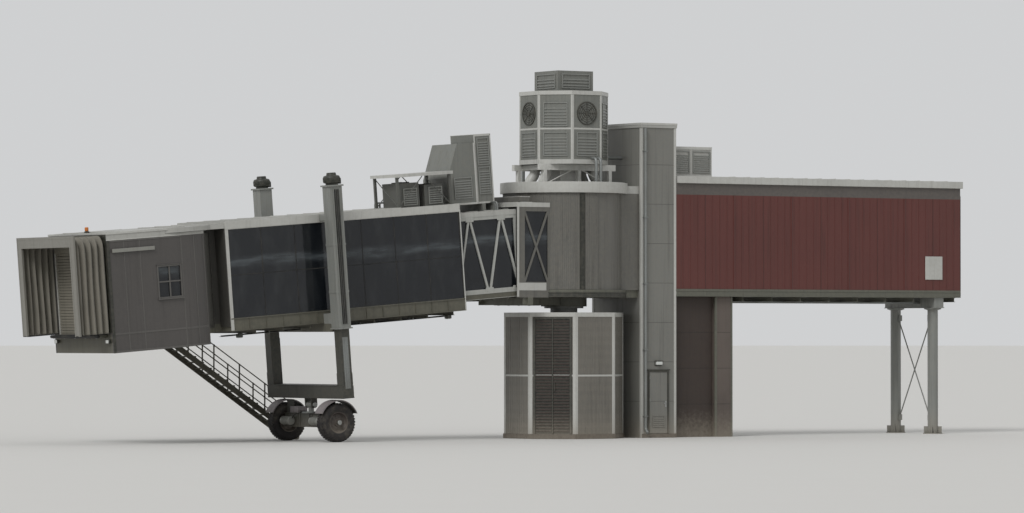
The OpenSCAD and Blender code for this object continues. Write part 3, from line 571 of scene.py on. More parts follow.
def stageAndCamera():
    bpy.ops.object.select_all(action="DESELECT")
    bpy.ops.mesh.primitive_circle_add(vertices=64, radius=studio["floorRadius"], fill_type="NGON")
    floor = bpy.context.object
    floor.name = "apronFloor"
    paint = Paint("paleFloor")
    grain = paint.noise(0.4, detail=4.0)
    paint.shade(Base_Color=paint.mix(grain * 0.12, studio["floor"], studio["floorGrain"]),
                Roughness=0.9)
    floor.data.materials.append(paint.material)

    world = bpy.data.worlds.new("overcast")
    world.use_nodes = True
    world.node_tree.nodes["Background"].inputs["Color"].default_value = studio["sky"]
    world.node_tree.nodes["Background"].inputs["Strength"].default_value = studio["skyStrength"]
    bpy.context.scene.world = world

    bpy.ops.object.light_add(type="SUN", rotation=[radians(a) for a in studio["sunTurn"]])
    sun = bpy.context.object
    sun.data.energy = studio["sun"]
    sun.data.angle = radians(studio["sunWidth"])

    turn = radians(studio["azimuth"])
    aim = Vector(studio["aim"])
    spot = Vector((aim.x + studio["away"] * sin(turn), aim.y - studio["away"] * cos(turn),
                   studio["eye"]))
    bpy.ops.object.camera_add(location=spot,
                              rotation=(aim - spot).to_track_quat("-Z", "Y").to_euler())
    camera = bpy.context.object
    camera.data.lens = studio["lens"]
    camera.data.clip_end = studio["clipEnd"]
    bpy.context.scene.camera = camera
    bpy.context.scene.view_settings.view_transform = "Standard"


stageAndCamera()
print("floor, light and camera")


# Rotunda, its column and its roof

round8 = [turned(45 * k) for k in range(8)]
cladding = {
    "face": 1.85,                  # from the middle to each of the eight faces
    "top": 4.15,
    "kerb": 0.16,
    "post": 0.09,                  # width of the corner strips
    "ribs": 9,                     # on each face
    "darkFace": 225,               # the face with the louvred doors, in degrees
    "doorHalf": 0.64, "doorLow": 0.17, "doorTop": 4.0,
}


def eighthHalf(face):                              # half a side of the octagon with this face
    return face * sin(pi / 8) / cos(pi / 8)


def claddingPieces():
    c = cladding
    half = eighthHalf(c["face"])
    near = c["face"] - 0.004
    face = bricks(mirrored([((near, half - c["post"], c["kerb"]),
                             (near + 0.018, half + 0.006, c["top"]))]) + [
        ((near, -half, c["top"] - 0.14), (near + 0.022, half, c["top"] + 0.004)),
        ((near, -half, 2.05), (near + 0.014, half, 2.11))])
    onBase(repeated(face, round8), "claddingTrim", "pale", slot="wall_paint")
    rib = bricks([((near, -0.014, c["kerb"]), (near + 0.012, 0.014, c["top"] - 0.13))], 0.005)
    gap = 2 * (half - c["post"]) / (c["ribs"] + 1)
    ribs = [turn @ at(0, -half + c["post"] + gap * (i + 1))
            for k, turn in enumerate(round8) if 45 * k != c["darkFace"] for i in range(c["ribs"])]
    onBase(repeated(rib, ribs), "claddingRibs", "cladding")
    kerb = bricks([((near, -half - 0.02, 0.0), (near + 0.05, half + 0.02, c["kerb"]))], 0.012)
    onBase(repeated(kerb, round8), "claddingKerb", "pier")
    doorway = turned(c["darkFace"])
    wide, low, top = c["doorHalf"], c["doorLow"], c["doorTop"]
    # near-black sheet behind the louvre blades: painted shade of the space behind them
    back = bricks([((near, -wide + 0.04, low), (near + 0.008, wide - 0.04, top - 0.02))])
    onBase(back, "claddingDoorBack", "cap", slot="pier_brown", place=doorway)
    rails = bricks(mirrored([((near, wide - 0.07, low), (near + 0.05, wide, top))]) + [
        ((near, -wide, top - 0.07), (near + 0.05, wide, top)),
        ((near, -0.02, low), (near + 0.045, 0.02, top - 0.07)),
        ((near, 0.05, 1.55), (near + 0.065, 0.08, 1.85))], 0.004)     # the last is the handle
    onBase(rails, "claddingDoorFrame", "dark", slot="pier_brown", place=doorway)
    blade = bricks([((near + 0.006, 0.025, 0.0), (near + 0.034, wide - 0.075, 0.05))], 0.006)
    blades = [doorway @ at(0, y, low + 0.07 + 0.1 * k) for k in range(37) for y in (0, 0.05 - wide)]
    onBase(repeated(blade, blades), "claddingLouvres", "pier")


drum = {
    "radius": 2.02, "low": 4.912, "high": 8.088,
    "slat": 2.0,                   # degrees between the slats
    "slatWidth": 0.011,
    "hoodEdge": 137,               # where the sleeve cuts the curtain, in degrees
    "headerLow": 7.75,
    "slit": 254,                   # the dark guide post, in degrees
}


def drumPieces():
    d = drum
    full, header = [], []
    angle = 91.0
    while angle <= 269:
        (header if d["hoodEdge"] < angle < 360 - d["hoodEdge"] else full).append(turned(angle))
        angle += d["slat"]
    slats = united([
        repeated(rods([((d["radius"], 0, low), (d["radius"], 0, d["high"]))], d["slatWidth"], 6),
                 turns)
        for low, turns in ((d["low"], full), (d["headerLow"], header))])
    onSwing(slats, "curtainSlats", "drum", slot="steel_paint", smooth=50)
    r, low, high = d["radius"], d["low"], d["high"]
    post = bricks([((r - 0.004, -0.085, low), (r + 0.02, 0.085, high)),
                   ((r + 0.016, -0.07, low + 0.03), (r + 0.032, -0.05, high - 0.03)),
                   ((r + 0.016, 0.05, low + 0.03), (r + 0.032, 0.07, high - 0.03))])
    onSwing(post, "curtainGuide", "cap", place=turned(d["slit"]))
    # a real rim, painted dark to stand for the shadow band under the drum: painted shadow
    rim = spun([(2.056, 4.66), (2.085, 4.66), (2.085, 4.69), (2.068, 4.695), (2.068, 4.785),
                (2.085, 4.79), (2.085, 4.82), (2.056, 4.82)], 96)
    bolt = rods([((2.062, 0, 4.74), (2.082, 0, 4.74))], 0.014, 6)
    rim = united([rim, repeated(bolt, [turned(15 * k) for k in range(24)])])
    onBase(rim, "floorRim", "dark", slot="beam_paint")
    gutter = spun([(2.08, 8.09), (2.112, 8.09), (2.118, 8.11), (2.118, 8.44), (2.05, 8.452),
                   (2.05, 8.425), (2.08, 8.42)], 96)
    onBase(gutter, "roofGutter", "pale")
    seam = bricks([((0.95, -0.014, 8.345), (2.04, 0.014, 8.385))], 0.006)
    onBase(repeated(seam, [turned(15 * k) for k in range(24)]), "rotundaRoofSeams", "roof")
    strip = bricks([((1.926, -0.02, 4.905), (1.937, 0.02, 8.09))])
    strips = [turned(a * s) for a in (48, 57, 66, 75, 84) for s in (1, -1)]
    onBase(repeated(strip, strips), "fixedWallStrips", "drum")
    bpy.ops.mesh.primitive_cylinder_add(vertices=72, radius=1.86, depth=0.012,
                                        location=(0, 0, 4.906))
    covering = eased(united([bpy.context.object]), 0.003)
    onBase(covering, "rotundaFloorCovering", "deck")


def louvres(width, low, high, step=0.1, thick=0.05, x0=0.0, proud=0.024):
    # a framed bank of blades, standing on the plane x0 and looking along +X
    half, rail, x1 = width / 2, 0.035, x0 + proud + 0.008
    border = bricks(mirrored([((x0, half - rail, low), (x1, half, high))]) + [
        ((x0, -half, low), (x1, half, low + rail)),
        ((x0, -half, high - rail), (x1, half, high))], 0.004)
    blade = bricks([((x0, -half + 0.03, 0), (x0 + proud, half - 0.03, thick))],
                   min(thick * 0.22, proud * 0.46))
    count = int((high - low - 0.12) / step)
    return united([border, repeated(blade, [at(0, 0, low + 0.07 + step * k)
                                            for k in range(count)])])


def roofSeam(roof, reach, rise, half, ease):       # a standing seam across a roof
    return bricks([((-half, -reach, roof - 0.004), (half, reach, roof + rise))], ease)


def fanGrille(radius, rings=5):                    # looks along +Z
    parts = [hoop(radius * (k + 1) / rings - 0.007, radius * (k + 1) / rings + 0.007, 0.0, 0.014)
             for k in range(rings)]
    spoke = bricks([((0.02, -0.008, -0.004), (radius, 0.008, 0.01))])
    parts.append(repeated(spoke, round8))
    parts.append(hoop(radius - 0.01, radius + 0.03, -0.03, 0.02))
    parts.append(rods([((0, 0, -0.02), (0, 0, 0.03))], radius * 0.22, 16, 0.006))
    return united(parts)


roofUnit = {"face": 1.375, "low": 9.05, "high": 11.45, "boxHalf": 0.7, "boxTop": 12.15}


def roofUnitPieces():
    u = roofUnit
    half = eighthHalf(u["face"])
    near = u["face"] - 0.003
    face = bricks(mirrored([((near, half - 0.055, u["low"]),
                             (near + 0.014, half + 0.004, u["high"]))]) + [
        ((near, -half, u["low"]), (near + 0.02, half, u["low"] + 0.15)),
        ((near, -half, u["high"] - 0.12), (near + 0.024, half + 0.008, u["high"] + 0.012)),
        ((near, -half, 10.18), (near + 0.01, half, 10.24))])
    onBase(repeated(face, round8), "roofUnitFrames", "pale", slot="steel_paint")
    bank = louvres(0.82, 9.3, 10.1, x0=near)
    banks = [turn @ at(0, 0, dz) for k, turn in enumerate(round8)
             for dz in ((0, 0.98) if k % 2 else (0,))]
    onBase(repeated(bank, banks), "roofUnitLouvres", "steel")
    fan = fanGrille(0.36)
    flat = at(near + 0.012, 0, 10.72) @ facingX
    onBase(repeated(fan, [turn @ flat for turn in round8[::2]]), "roofUnitFans", "dark")
    boxTop = u["boxTop"]
    boxLouvre = louvres(1.1, 11.56, boxTop - 0.1, x0=u["boxHalf"])
    onBase(repeated(boxLouvre, [turned(90 * k) for k in range(4)]), "roofBoxLouvres", "steel")
    topFan = fanGrille(0.52, 7)
    corners = [(x, y) for x in (-0.64, 0.64) for y in (-0.64, 0.64)]
    lugs = bricks([((x - 0.03, y - 0.012, boxTop - 0.05), (x + 0.03, y + 0.012, boxTop))
                   for x, y in corners])
    top = united([moved(topFan, at(0, 0, boxTop - 0.02)), lugs])
    onBase(top, "roofBoxFan", "dark")
    pipes = united([
        bent([(1.3, y, 9.32), (1.75, y, 9.32), (2.14, y, 9.32)], 0.055) for y in (-0.3, -0.1)] + [
        bent([(x, -1.34, 9.24), (x, -1.66, 9.24), (x, -1.66, 8.36)], 0.05)
        for x in (0.18, 0.36)] + [
        bent([(-0.5, 1.34, 9.3), (-0.5, 1.7, 9.3), (-0.5, 1.7, 8.36)], 0.06),
        bent([(0.2, 1.36, 9.6), (0.2, 1.62, 9.6), (0.2, 1.62, 8.36)], 0.04)])
    onBase(pipes, "roofPipes", "zinc", slot="duct_metal", smooth=60)
    ducts = united([bent([(x, y, 9.0), (x, y, 8.72), (x * 1.18, y * 1.22, 8.5),
                          (x * 1.18, y * 1.22, 8.352)], 0.17, 20)
                    for x in (-0.92, 0.92) for y in (-0.34, 0.34)])
    flanges = repeated(hoop(0.16, 0.25, 0.0, 0.03, 24), [
        at(x * 1.18, y * 1.22, 8.35) for x in (-0.92, 0.92) for y in (-0.34, 0.34)])
    ducts = united([ducts, flanges])
    onBase(ducts, "roofDucts", "duct", smooth=50)
    braces = rods([((x, y, 8.36), (x + 1.35 * s, y, 8.98))
                   for y in (-0.775, 0.775) for x, s in ((-1.3, 1), (1.3, -1))], 0.022, 8)
    onBase(braces, "roofUnitBraces", "duct", smooth=60)


# Tower

tower = {"x0": 2.12, "x1": 3.52, "side": 1.45, "top": 10.3,
         "door": (2.38, 3.22, 0.14, 2.24)}           # its frame: left, right, foot and head


def towerPieces():
    t = tower
    x0, x1, far, top = t["x0"], t["x1"], t["side"], t["top"]
    edge = 0.085
    trims = bricks(mirrored([
        ((x0, far - 0.004, 0), (x0 + edge, far + 0.01, top)),
        ((x1 - edge, far - 0.004, 0), (x1, far + 0.01, top)),
        ((x0 - 0.01, far - edge, 0), (x0 + 0.004, far + 0.01, top)),
        ((x1 - 0.004, far - edge, 0), (x1 + 0.01, far + 0.01, top))]) + [
        ((x0 - 0.04, -far - 0.04, top + 0.09), (x1 + 0.04, far + 0.04, top + 0.162))])
    onBase(trims, "towerTrim", "pale", slot="wall_paint")
    base = bricks([((x0 + 0.01, -far - 0.02, 0), (x1 + 0.02, far + 0.02, 0.14))], 0.012)
    onBase(base, "towerPlinth", "pier")
    y = -far
    left, right, foot, head = t["door"]
    jamb = 0.06
    doorway = bricks([((left, y - 0.035, foot), (left + jamb, y + 0.01, head)),
                      ((right - jamb, y - 0.035, foot), (right, y + 0.01, head)),
                      ((left, y - 0.035, head - jamb), (right, y + 0.01, head)),
                      ((left - 0.04, y - 0.05, head), (right + 0.04, y + 0.01, head + 0.03))])
    onBase(doorway, "towerDoorFrame", "dark", slot="wall_paint")
    leaf = bricks([((left + 0.065, y - 0.022, foot + 0.01),
                    (right - 0.065, y + 0.005, head - 0.065))], 0.006)
    vents = louvres(0.5, 0.35, 0.75, 0.06, 0.03, proud=0.012)
    vents = moved(vents, at(2.8, y - 0.022) @ turned(-90))
    onBase(united([leaf, vents]), "towerDoor", "tower")
    fittings = united([
        rods([((2.448, y - 0.03, z), (2.448, y - 0.03, z + 0.1)) for z in (0.4, 1.2, 1.95)], 0.012,
             10),
        bent([(3.09, y - 0.02, 1.14), (3.09, y - 0.07, 1.14), (2.98, y - 0.07, 1.14)], 0.01),
        bricks([((3.06, y - 0.032, 1.02), (3.12, y - 0.02, 1.22))])])
    onBase(fittings, "towerDoorFittings", "bright", slot="wall_paint")
    lamp = bricks([((2.68, y - 0.1, 2.42), (2.92, y - 0.012, 2.54))], 0.02, 3)
    onBase(lamp, "towerLampLens", "clear")
    hood = bricks([((2.66, y - 0.11, 2.535), (2.94, y + 0.005, 2.56)),
                   ((2.66, y - 0.016, 2.38), (2.94, y + 0.005, 2.56))])
    onBase(hood, "towerLampHood", "dark")
    line = [(2.24, y - 0.075, 10.28), (2.24, y - 0.075, 0.3), (2.24, y - 0.2, 0.17)]
    clips = bricks([((2.17, y - 0.14, z), (2.31, y + 0.005, z + 0.035))
                    for z in (0.7, 2.9, 5.1, 7.3, 9.5)])
    onBase(united([bent(line, 0.05, 16), clips]), "downPipe", "zinc", smooth=50)
    tray = bricks([((2.62, far, 0.6), (2.64, far + 0.05, 10.2)),
                   ((2.9, far, 0.6), (2.92, far + 0.05, 10.2)),
                   ((2.62, far, 0.6), (2.92, far + 0.008, 10.2))])
    onBase(tray, "towerConduitTray", "zinc")
    conduits = united([bent([(2.67 + 0.05 * k, far + 0.026, 10.15),
                             (2.67 + 0.05 * k, far + 0.026, 0.62)], 0.014 + 0.003 * (k % 2), 8)
                       for k in range(5)])
    onBase(conduits, "towerConduits", "seal", smooth=60)


# Link

link = {"x0": 3.52, "x1": 15.52, "bay": 2.4, "side": 1.45, "low": 4.7, "deck": 4.9,
        "wallTop": 8.1, "sheet": 8.5, "top": 8.7,    # sheet: the roof edge
        "beams": (6.32, 7.52, 8.72, 9.92, 11.12, 12.32, 13.52, 15.3), "tray": (5.94, 14.41)}


def linkPieces():
    k = link
    y0, y1 = k["side"] - 0.004, k["side"] + 0.01
    rib = bricks(mirrored([((-0.011, y0, k["deck"] + 0.06), (0.011, y1, k["wallTop"]))]), 0.004)
    ribPlaces = [at(k["x0"] + 0.3 * i) for i in range(1, 40) if i % 8]
    onBase(repeated(rib, ribPlaces), "linkWallRibs", "red")
    cap = bricks(mirrored([((-0.045, y0, k["deck"]), (0.045, y1 + 0.012, k["wallTop"]))]), 0.006)
    onBase(repeated(cap, [at(k["x0"] + k["bay"] * i) for i in range(1, 5)]), "linkJointCaps", "red")
    sill = bricks(mirrored([
        ((k["x0"], y0, k["low"]), (k["x1"], y1 + 0.014, k["low"] + 0.03)),
        ((k["x0"], y0, k["deck"] - 0.03), (k["x1"], y1 + 0.014, k["deck"] + 0.05)),
        ((k["x0"], y0, k["low"]), (k["x1"], y1, k["deck"] + 0.05))]), 0.004)
    onBase(sill, "linkFloorChannel", "beam")
    x0, x1, low, high = k["x0"] + 0.035, k["x1"] + 0.065, k["sheet"] - 0.02, k["top"] + 0.015
    edge = bricks(mirrored([((x0, 1.505, low), (x1, 1.525, high)),
                            ((x0, 1.43, low), (x1, 1.525, k["sheet"] - 0.005))]) + [
        ((x1 - 0.01, -1.52, low), (x1 + 0.005, 1.52, high))])
    onBase(edge, "linkRoofEdge", "pale")
    seam = roofSeam(k["top"], 1.5, 0.035, 0.015, 0.008)
    onBase(repeated(seam, [at(k["x0"] + 0.6 * i) for i in range(4, 20)]), "linkRoofSeams", "pale")
    crossBeam = bricks([((-0.05, -1.38, 4.55), (0.05, 1.38, 4.565)), ((-0.008, -1.38, 4.56),
        (0.008, 1.38, 4.7)),
                        ((-0.05, -1.38, 4.685), (0.05, 1.38, 4.7))])
    onBase(repeated(crossBeam, [at(x) for x in k["beams"]]), "linkCrossBeams", "beam")
    a, b = k["tray"]
    tray = bricks([((a, -0.62, 4.49), (b, -0.26, 4.5)), ((a, -0.62, 4.49), (b, -0.61, 4.55)),
                   ((a, -0.27, 4.49), (b, -0.26, 4.55))])
    onBase(tray, "linkConduitTray", "zinc")
    lines = united([bent([(a + 0.01, -0.56 + 0.07 * i, 4.52), (b - 0.01, -0.56 + 0.07 * i, 4.52)],
                         0.016, 8) for i in range(4)] + [bent([(a, 0.5, 4.6), (b, 0.5, 4.6)], 0.05,
                             14)])
    onBase(lines, "linkConduits", "seal", smooth=60)
    gasket = bricks(mirrored([((15.515, 1.31, 4.9), (15.56, 1.43, 8.11))]) + [
        ((15.515, -1.43, 4.74), (15.56, 1.43, 4.895)), ((15.515, -1.43, 8.1), (15.56, 1.43, 8.22))],
        0.01)
    onBase(gasket, "linkEndGasket", "seal")
    plate = bricks([((13.98, -1.478, 5.32), (14.72, -1.458, 6.12))], 0.006)
    onBase(plate, "blankPlate", "pale")
    sheets = [(k["x0"] + 0.02 + 1.2 * i, k["x0"] + 1.205 + 1.2 * i) for i in range(10)]
    lining = bricks(mirrored([((a, 1.316, 4.92), (b, 1.332, 8.06)) for a, b in sheets]) + [
        ((a, -1.31, 8.062), (b, 1.31, 8.098)) for a, b in sheets])
    onBase(lining, "linkLining", "lining")
    covering = bricks([((2.15, -1.2, 4.9), (3.55, 1.2, 4.911)),
                       ((3.54, -1.31, 4.9), (15.5, 1.31, 4.912))])
    onBase(covering, "linkFloorCovering", "deck")
    lights = bricks([((4.2 + 2.4 * i, -0.14, 8.045), (5.4 + 2.4 * i, 0.14, 8.065))
                     for i in range(5)], 0.006)
    onBase(lights, "linkLights", "clear")
    rails = rods([((3.6, y, 5.85), (15.45, y, 5.85)) for y in (-1.29, 1.29)] + [
        ((x, y * 1.29, 5.85), (x, y * 1.32, 5.85)) for x in (4.2, 6.6, 9.0, 11.4, 13.8)
        for y in (1, -1)],
        0.018, 12)
    onBase(rails, "linkHandrails", "bright", smooth=60)


support = {"x": 14.62, "y": 1.05}


def supportPieces():
    s = support
    foot = spun([(0.17, 0.03), (0.335, 0.03), (0.335, 0.0), (0.17, 0.0)], 40)
    web = bricks([((0.17, -0.01, 0.028), (0.31, 0.01, 0.26))], 0.004)
    webs = repeated(web, [turned(45 + 90 * i) for i in range(4)])
    nut = rods([((0.27, 0, 0.03), (0.27, 0, 0.085))], 0.022, 6)
    nuts = repeated(nut, [turned(22.5 + 45 * i) for i in range(8)])
    collar = spun([(0.178, 4.27), (0.3, 4.31), (0.3, 4.35), (0.178, 4.35)], 40)
    feet = repeated(united([foot, webs, nuts, collar]),
                    [at(s["x"], y) for y in (-s["y"], s["y"])])
    onBase(feet, "supportFeet", "steel")
    bars = rods([((s["x"], -0.9, 0.55), (s["x"], 0.9, 4.0)), ((s["x"] + 0.05, 0.9, 0.55),
        (s["x"] + 0.05, -0.9, 4.0))],
                0.022, 10)
    ears = bricks([((s["x"] - 0.03, y - 0.12, z - 0.1), (s["x"] + 0.08, y + 0.12, z + 0.1))
                   for y in (-0.9, 0.9) for z in (0.55, 4.0)], 0.006)
    onBase(united([bars, ears]), "supportBraces", "steel")
    web = bricks(mirrored([((s["x"] - 0.21, 0.2 + 0.42 * i, 4.35),
                            (s["x"] + 0.21, 0.22 + 0.42 * i, 4.7)) for i in range(3)]) + [
        ((s["x"] - 0.23, -1.41, 4.345), (s["x"] + 0.23, 1.41, 4.37))])
    onBase(web, "supportBeamPlates", "steel")
    pillar = bricks(mirrored([((5.86, 1.22, 0), (5.935, 1.312, 4.69)),
                              ((5.22, 1.24, 0), (5.3, 1.312, 4.69))]) + [
        ((5.9, -1.31, 4.6), (5.935, 1.31, 4.69)), ((5.9, -1.31, 0.0), (5.94, 1.31, 0.12))])
    onBase(pillar, "pierCorners", "beam", slot="pier_brown")


linkUnit = {"x0": 3.67, "x1": 5.37, "side": 0.9, "low": 8.7, "top": 9.7}


def linkUnitPieces():
    x0, x1, y, z0, z1 = linkUnit.values()
    frames = bricks(mirrored([((x, y - 0.004, z0), (x + 0.05, y + 0.01, z1))
                              for x in (x0, 4.495, x1 - 0.05)] + [
        ((x0, y - 0.004, z0), (x1, y + 0.014, z0 + 0.08)), ((x0, y - 0.004, z1 - 0.07),
            (x1, y + 0.016, z1 + 0.008))]) + [
        ((x0 - 0.012, -y - 0.012, z1), (x1 + 0.012, y + 0.012, z1 + 0.025)),
        ((x1 - 0.004, -y, z0), (x1 + 0.01, y, z0 + 0.08))])
    onBase(frames, "linkUnitFrame", "pale", slot="steel_paint")
    bank = louvres(0.7, z0 + 0.14, z1 - 0.12, 0.07, 0.04)
    places = [at(x, s * y) @ turned(90 * s)
              for x in (4.1, 4.94) for s in (1, -1)] + [at(x1, 0.4)]
    onBase(repeated(bank, places), "linkUnitLouvres", "steel")
    fan = fanGrille(0.38)
    onBase(repeated(fan, [at(x, 0, z1 + 0.03) for x in (4.1, 4.95)]), "linkUnitFans", "dark")


claddingPieces()
drumPieces()
roofUnitPieces()
print("rotunda")
towerPieces()
linkPieces()
supportPieces()
linkUnitPieces()
print("tower and link")


# Swinging part of the rotunda


def swingPieces():
    seam = bricks([((-2.5, -0.012, 7.738), (-2.1, 0.012, 7.77))], 0.006)
    seams = repeated(seam, [at(0, y) for y in (-1.3, -1.2, 1.2, 1.3)])
    flashing = bricks([((-2.765, -1.415, 7.6), (-2.745, 1.415, 7.755)),
                       ((-2.49, -1.16, 7.93), (-2.1, 1.16, 7.952))] + mirrored([
                           ((-2.76, 1.396, 4.66), (-2.68, 1.412, 7.62)),
                           ((-2.76, 1.396, 7.6), (-1.48, 1.412, 7.75)),
                           ((-2.74, 1.396, 4.87), (-1.62, 1.41, 5.12))]), 0.004)
    onSwing(united([seams, flashing]), "sleeveFlashing", "pale", slot="wall_paint")
    lip = bricks(mirrored([((-2.748, 1.312, 4.98), (-2.73, 1.362, 7.6))]), 0.004)
    onSwing(lip, "sleeveSeals", "seal")
    plate = bricks([((-2.432, -1.08, 4.902), (-2.3, 1.08, 4.91))], 0.003)
    onSwing(plate, "thresholdPlate", "bright")
    covering = bricks([((-2.3, -1.12, 4.9), (-2.09, 1.12, 4.911))])
    onSwing(covering, "sleeveFloorCovering", "deck")
    gussets = bricks(mirrored([((x, 0.545, 4.38), (x + 0.02, 0.655, 4.63))
                               for x in (-1.0, -1.4, -1.8, -2.2)] + [
        ((-2.34, 0.44, 4.388), (-0.7, 0.66, 4.402))]), 0.004)
    onSwing(gussets, "swingArmPlates", "beam")
    ringBolt = rods([((0.7, 0, 4.6), (0.7, 0, 4.646))], 0.02, 6)
    onSwing(repeated(ringBolt, [turned(15 * k + 7.5) for k in range(24)]), "swingRingBolts",
            "bright")


# Inner tunnel, in the frame of the tunnels: x is minus the reach from the hinge

inner = {"length": 9.9, "start": 0.12, "bays": 8, "side": 1.3, "low": 0.1, "high": 2.6,
         "roof": 2.75}


def innerPieces():
    k = inner
    step = (k["length"] - k["start"]) / k["bays"]
    y0, y1 = k["side"] - 0.004, k["side"] + 0.009
    plate = bricks(mirrored([((-0.15, y0, k["low"] + 0.02), (0.15, y1, k["low"] + 0.17))]), 0.004)
    bolt = rods([((x, y * (y1 - 0.002), k["low"] + z), (x, y * (y1 + 0.01), k["low"] + z))
                 for x in (-0.1, 0, 0.1) for z in (0.05, 0.12) for y in (1, -1)], 0.011, 6)
    knot = united([plate, bolt])
    lift = k["high"] - k["low"] - 0.19
    places = []
    for i in range(k["bays"]):
        x = -k["length"] + i * step
        places.append(at(max(x, -k["length"] + 0.16)))
        places.append(at(x + step / 2, 0, lift))
    places.append(at(-k["start"] - 0.16))
    onInner(repeated(knot, places), "latticeKnots", "lattice")
    rail = bricks(mirrored([((-k["length"], y0, k["low"] - 0.03),
                             (-k["start"], y1 + 0.004, k["low"] + 0.02)),
                            ((-k["length"], y0, k["high"] - 0.02),
                             (-k["start"], y1 + 0.004, k["high"] + 0.03)),
                            ((-k["length"], y0, -0.1), (-k["start"], y1, -0.085))]), 0.004)
    onInner(rail, "latticeRails", "lattice")
    seam = bricks([((-0.014, -1.29, k["roof"] - 0.004), (0.014, 1.29, k["roof"] + 0.028))], 0.007)
    onInner(repeated(seam, [at(-k["start"] - 0.6 * i - 0.3) for i in range(16)]), "innerRoofSeams",
            "slopedRoof")
    boxes = bricks(mirrored([
        ((-1.205, 0.694, 3.0), (-1.16, 0.712, 5.25)), ((-0.6, 0.694, 3.0), (-0.555, 0.712, 5.25)),
        ((-1.205, 0.694, 5.2), (-0.555, 0.712, 5.262)), ((-1.205, 0.694, 3.0),
            (-0.555, 0.714, 3.06)),
        ((-2.34, 0.746, 3.0), (-1.225, 0.76, 3.06)), ((-2.34, 0.746, 3.0), (-2.28, 0.76, 3.88)),
        ((-1.28, 0.746, 3.0), (-1.225, 0.76, 5.0))]) + [
        ((-0.564, -0.7, 3.0), (-0.553, 0.7, 3.06)), ((-0.564, -0.7, 5.2), (-0.553, 0.7, 5.262)),
        ((-1.21, -0.712, 5.25), (-0.55, 0.712, 5.272))], 0.004)
    onInner(boxes, "innerUnitFrames", "pale", slot="steel_paint")
    sideBank = louvres(0.46, 3.3, 4.2, 0.08, 0.045)
    wideBank = louvres(0.7, 3.2, 3.9, 0.08, 0.045)
    places = [at(-0.88, s * 0.7, dz) @ turned(90 * s)
              for s in (1, -1) for dz in (0, 0.95)]
    banks = united([
        repeated(sideBank, places),
        repeated(wideBank, [at(-1.76, s * 0.75) @ turned(90 * s)
                            for s in (1, -1)])])
    onInner(banks, "innerUnitLouvres", "steel")
    fan = fanGrille(0.3)
    fans = repeated(fan, [at(-0.562, y, z) @ facingX
                          for y in (-0.34, 0.34) for z in (3.55, 4.65)])
    onInner(fans, "innerUnitFans", "dark")
    pipes = united([bent([(-0.7, y, 3.02), (-0.7, y * 1.35, 3.02), (-0.7, y * 1.35, 2.76)], 0.035)
                    for y in (0.72, 0.8, -0.72, -0.8)] + [
        bent([(-1.5, 0.9, 2.8), (-0.62, 0.9, 2.8)], 0.03),
        bent([(-1.5, 1.0, 2.8), (-0.62, 1.0, 2.8)], 0.03),
        bent([(-2.2, 0.85, 2.8), (-2.2, 0.85, 3.3), (-2.2, 0.74, 3.3)], 0.03)])
    onInner(pipes, "innerUnitPipes", "zinc", smooth=60)
    rails = rods([((-9.8, y, 1.05), (-0.2, y, 1.05)) for y in (-1.17, 1.17)] + [
        ((x, y * 1.17, 1.05), (x, y * 1.22, 1.05)) for x in (-9.5, -7.2, -4.9, -2.6, -0.4)
        for y in (1, -1)],
        0.017, 10)
    onInner(rails, "innerHandrails", "bright", smooth=60)
    finish = bricks([((-9.89, -1.2, 0.1), (-0.12, 1.2, 0.111)), ((-9.88, -1.2, 2.588),
        (-0.14, 1.2, 2.6))])
    onInner(finish, "innerFloorCovering", "slopedDeck")
    lights = bricks([((-1.6 - 1.9 * i, -0.1, 2.572), (-0.6 - 1.9 * i, 0.1, 2.59))
                     for i in range(5)], 0.005)
    onInner(lights, "innerLights", "clear")
    undersill = bricks([((-2.3 + 0.55 * i, -1.27, -0.16), (-2.26 + 0.55 * i, 1.27, -0.1))
                        for i in range(4)])
    onInner(undersill, "innerCrossBeams", "slopedBeam")


# Outer tunnel

outer = {"rear": 2.45, "front": 11.2, "side": 1.5, "low": -0.4, "deck": -0.15, "ceiling": 2.85,
         "roof": 3.05, "bays": 7, "post": 0.09, "transom": 1.36}


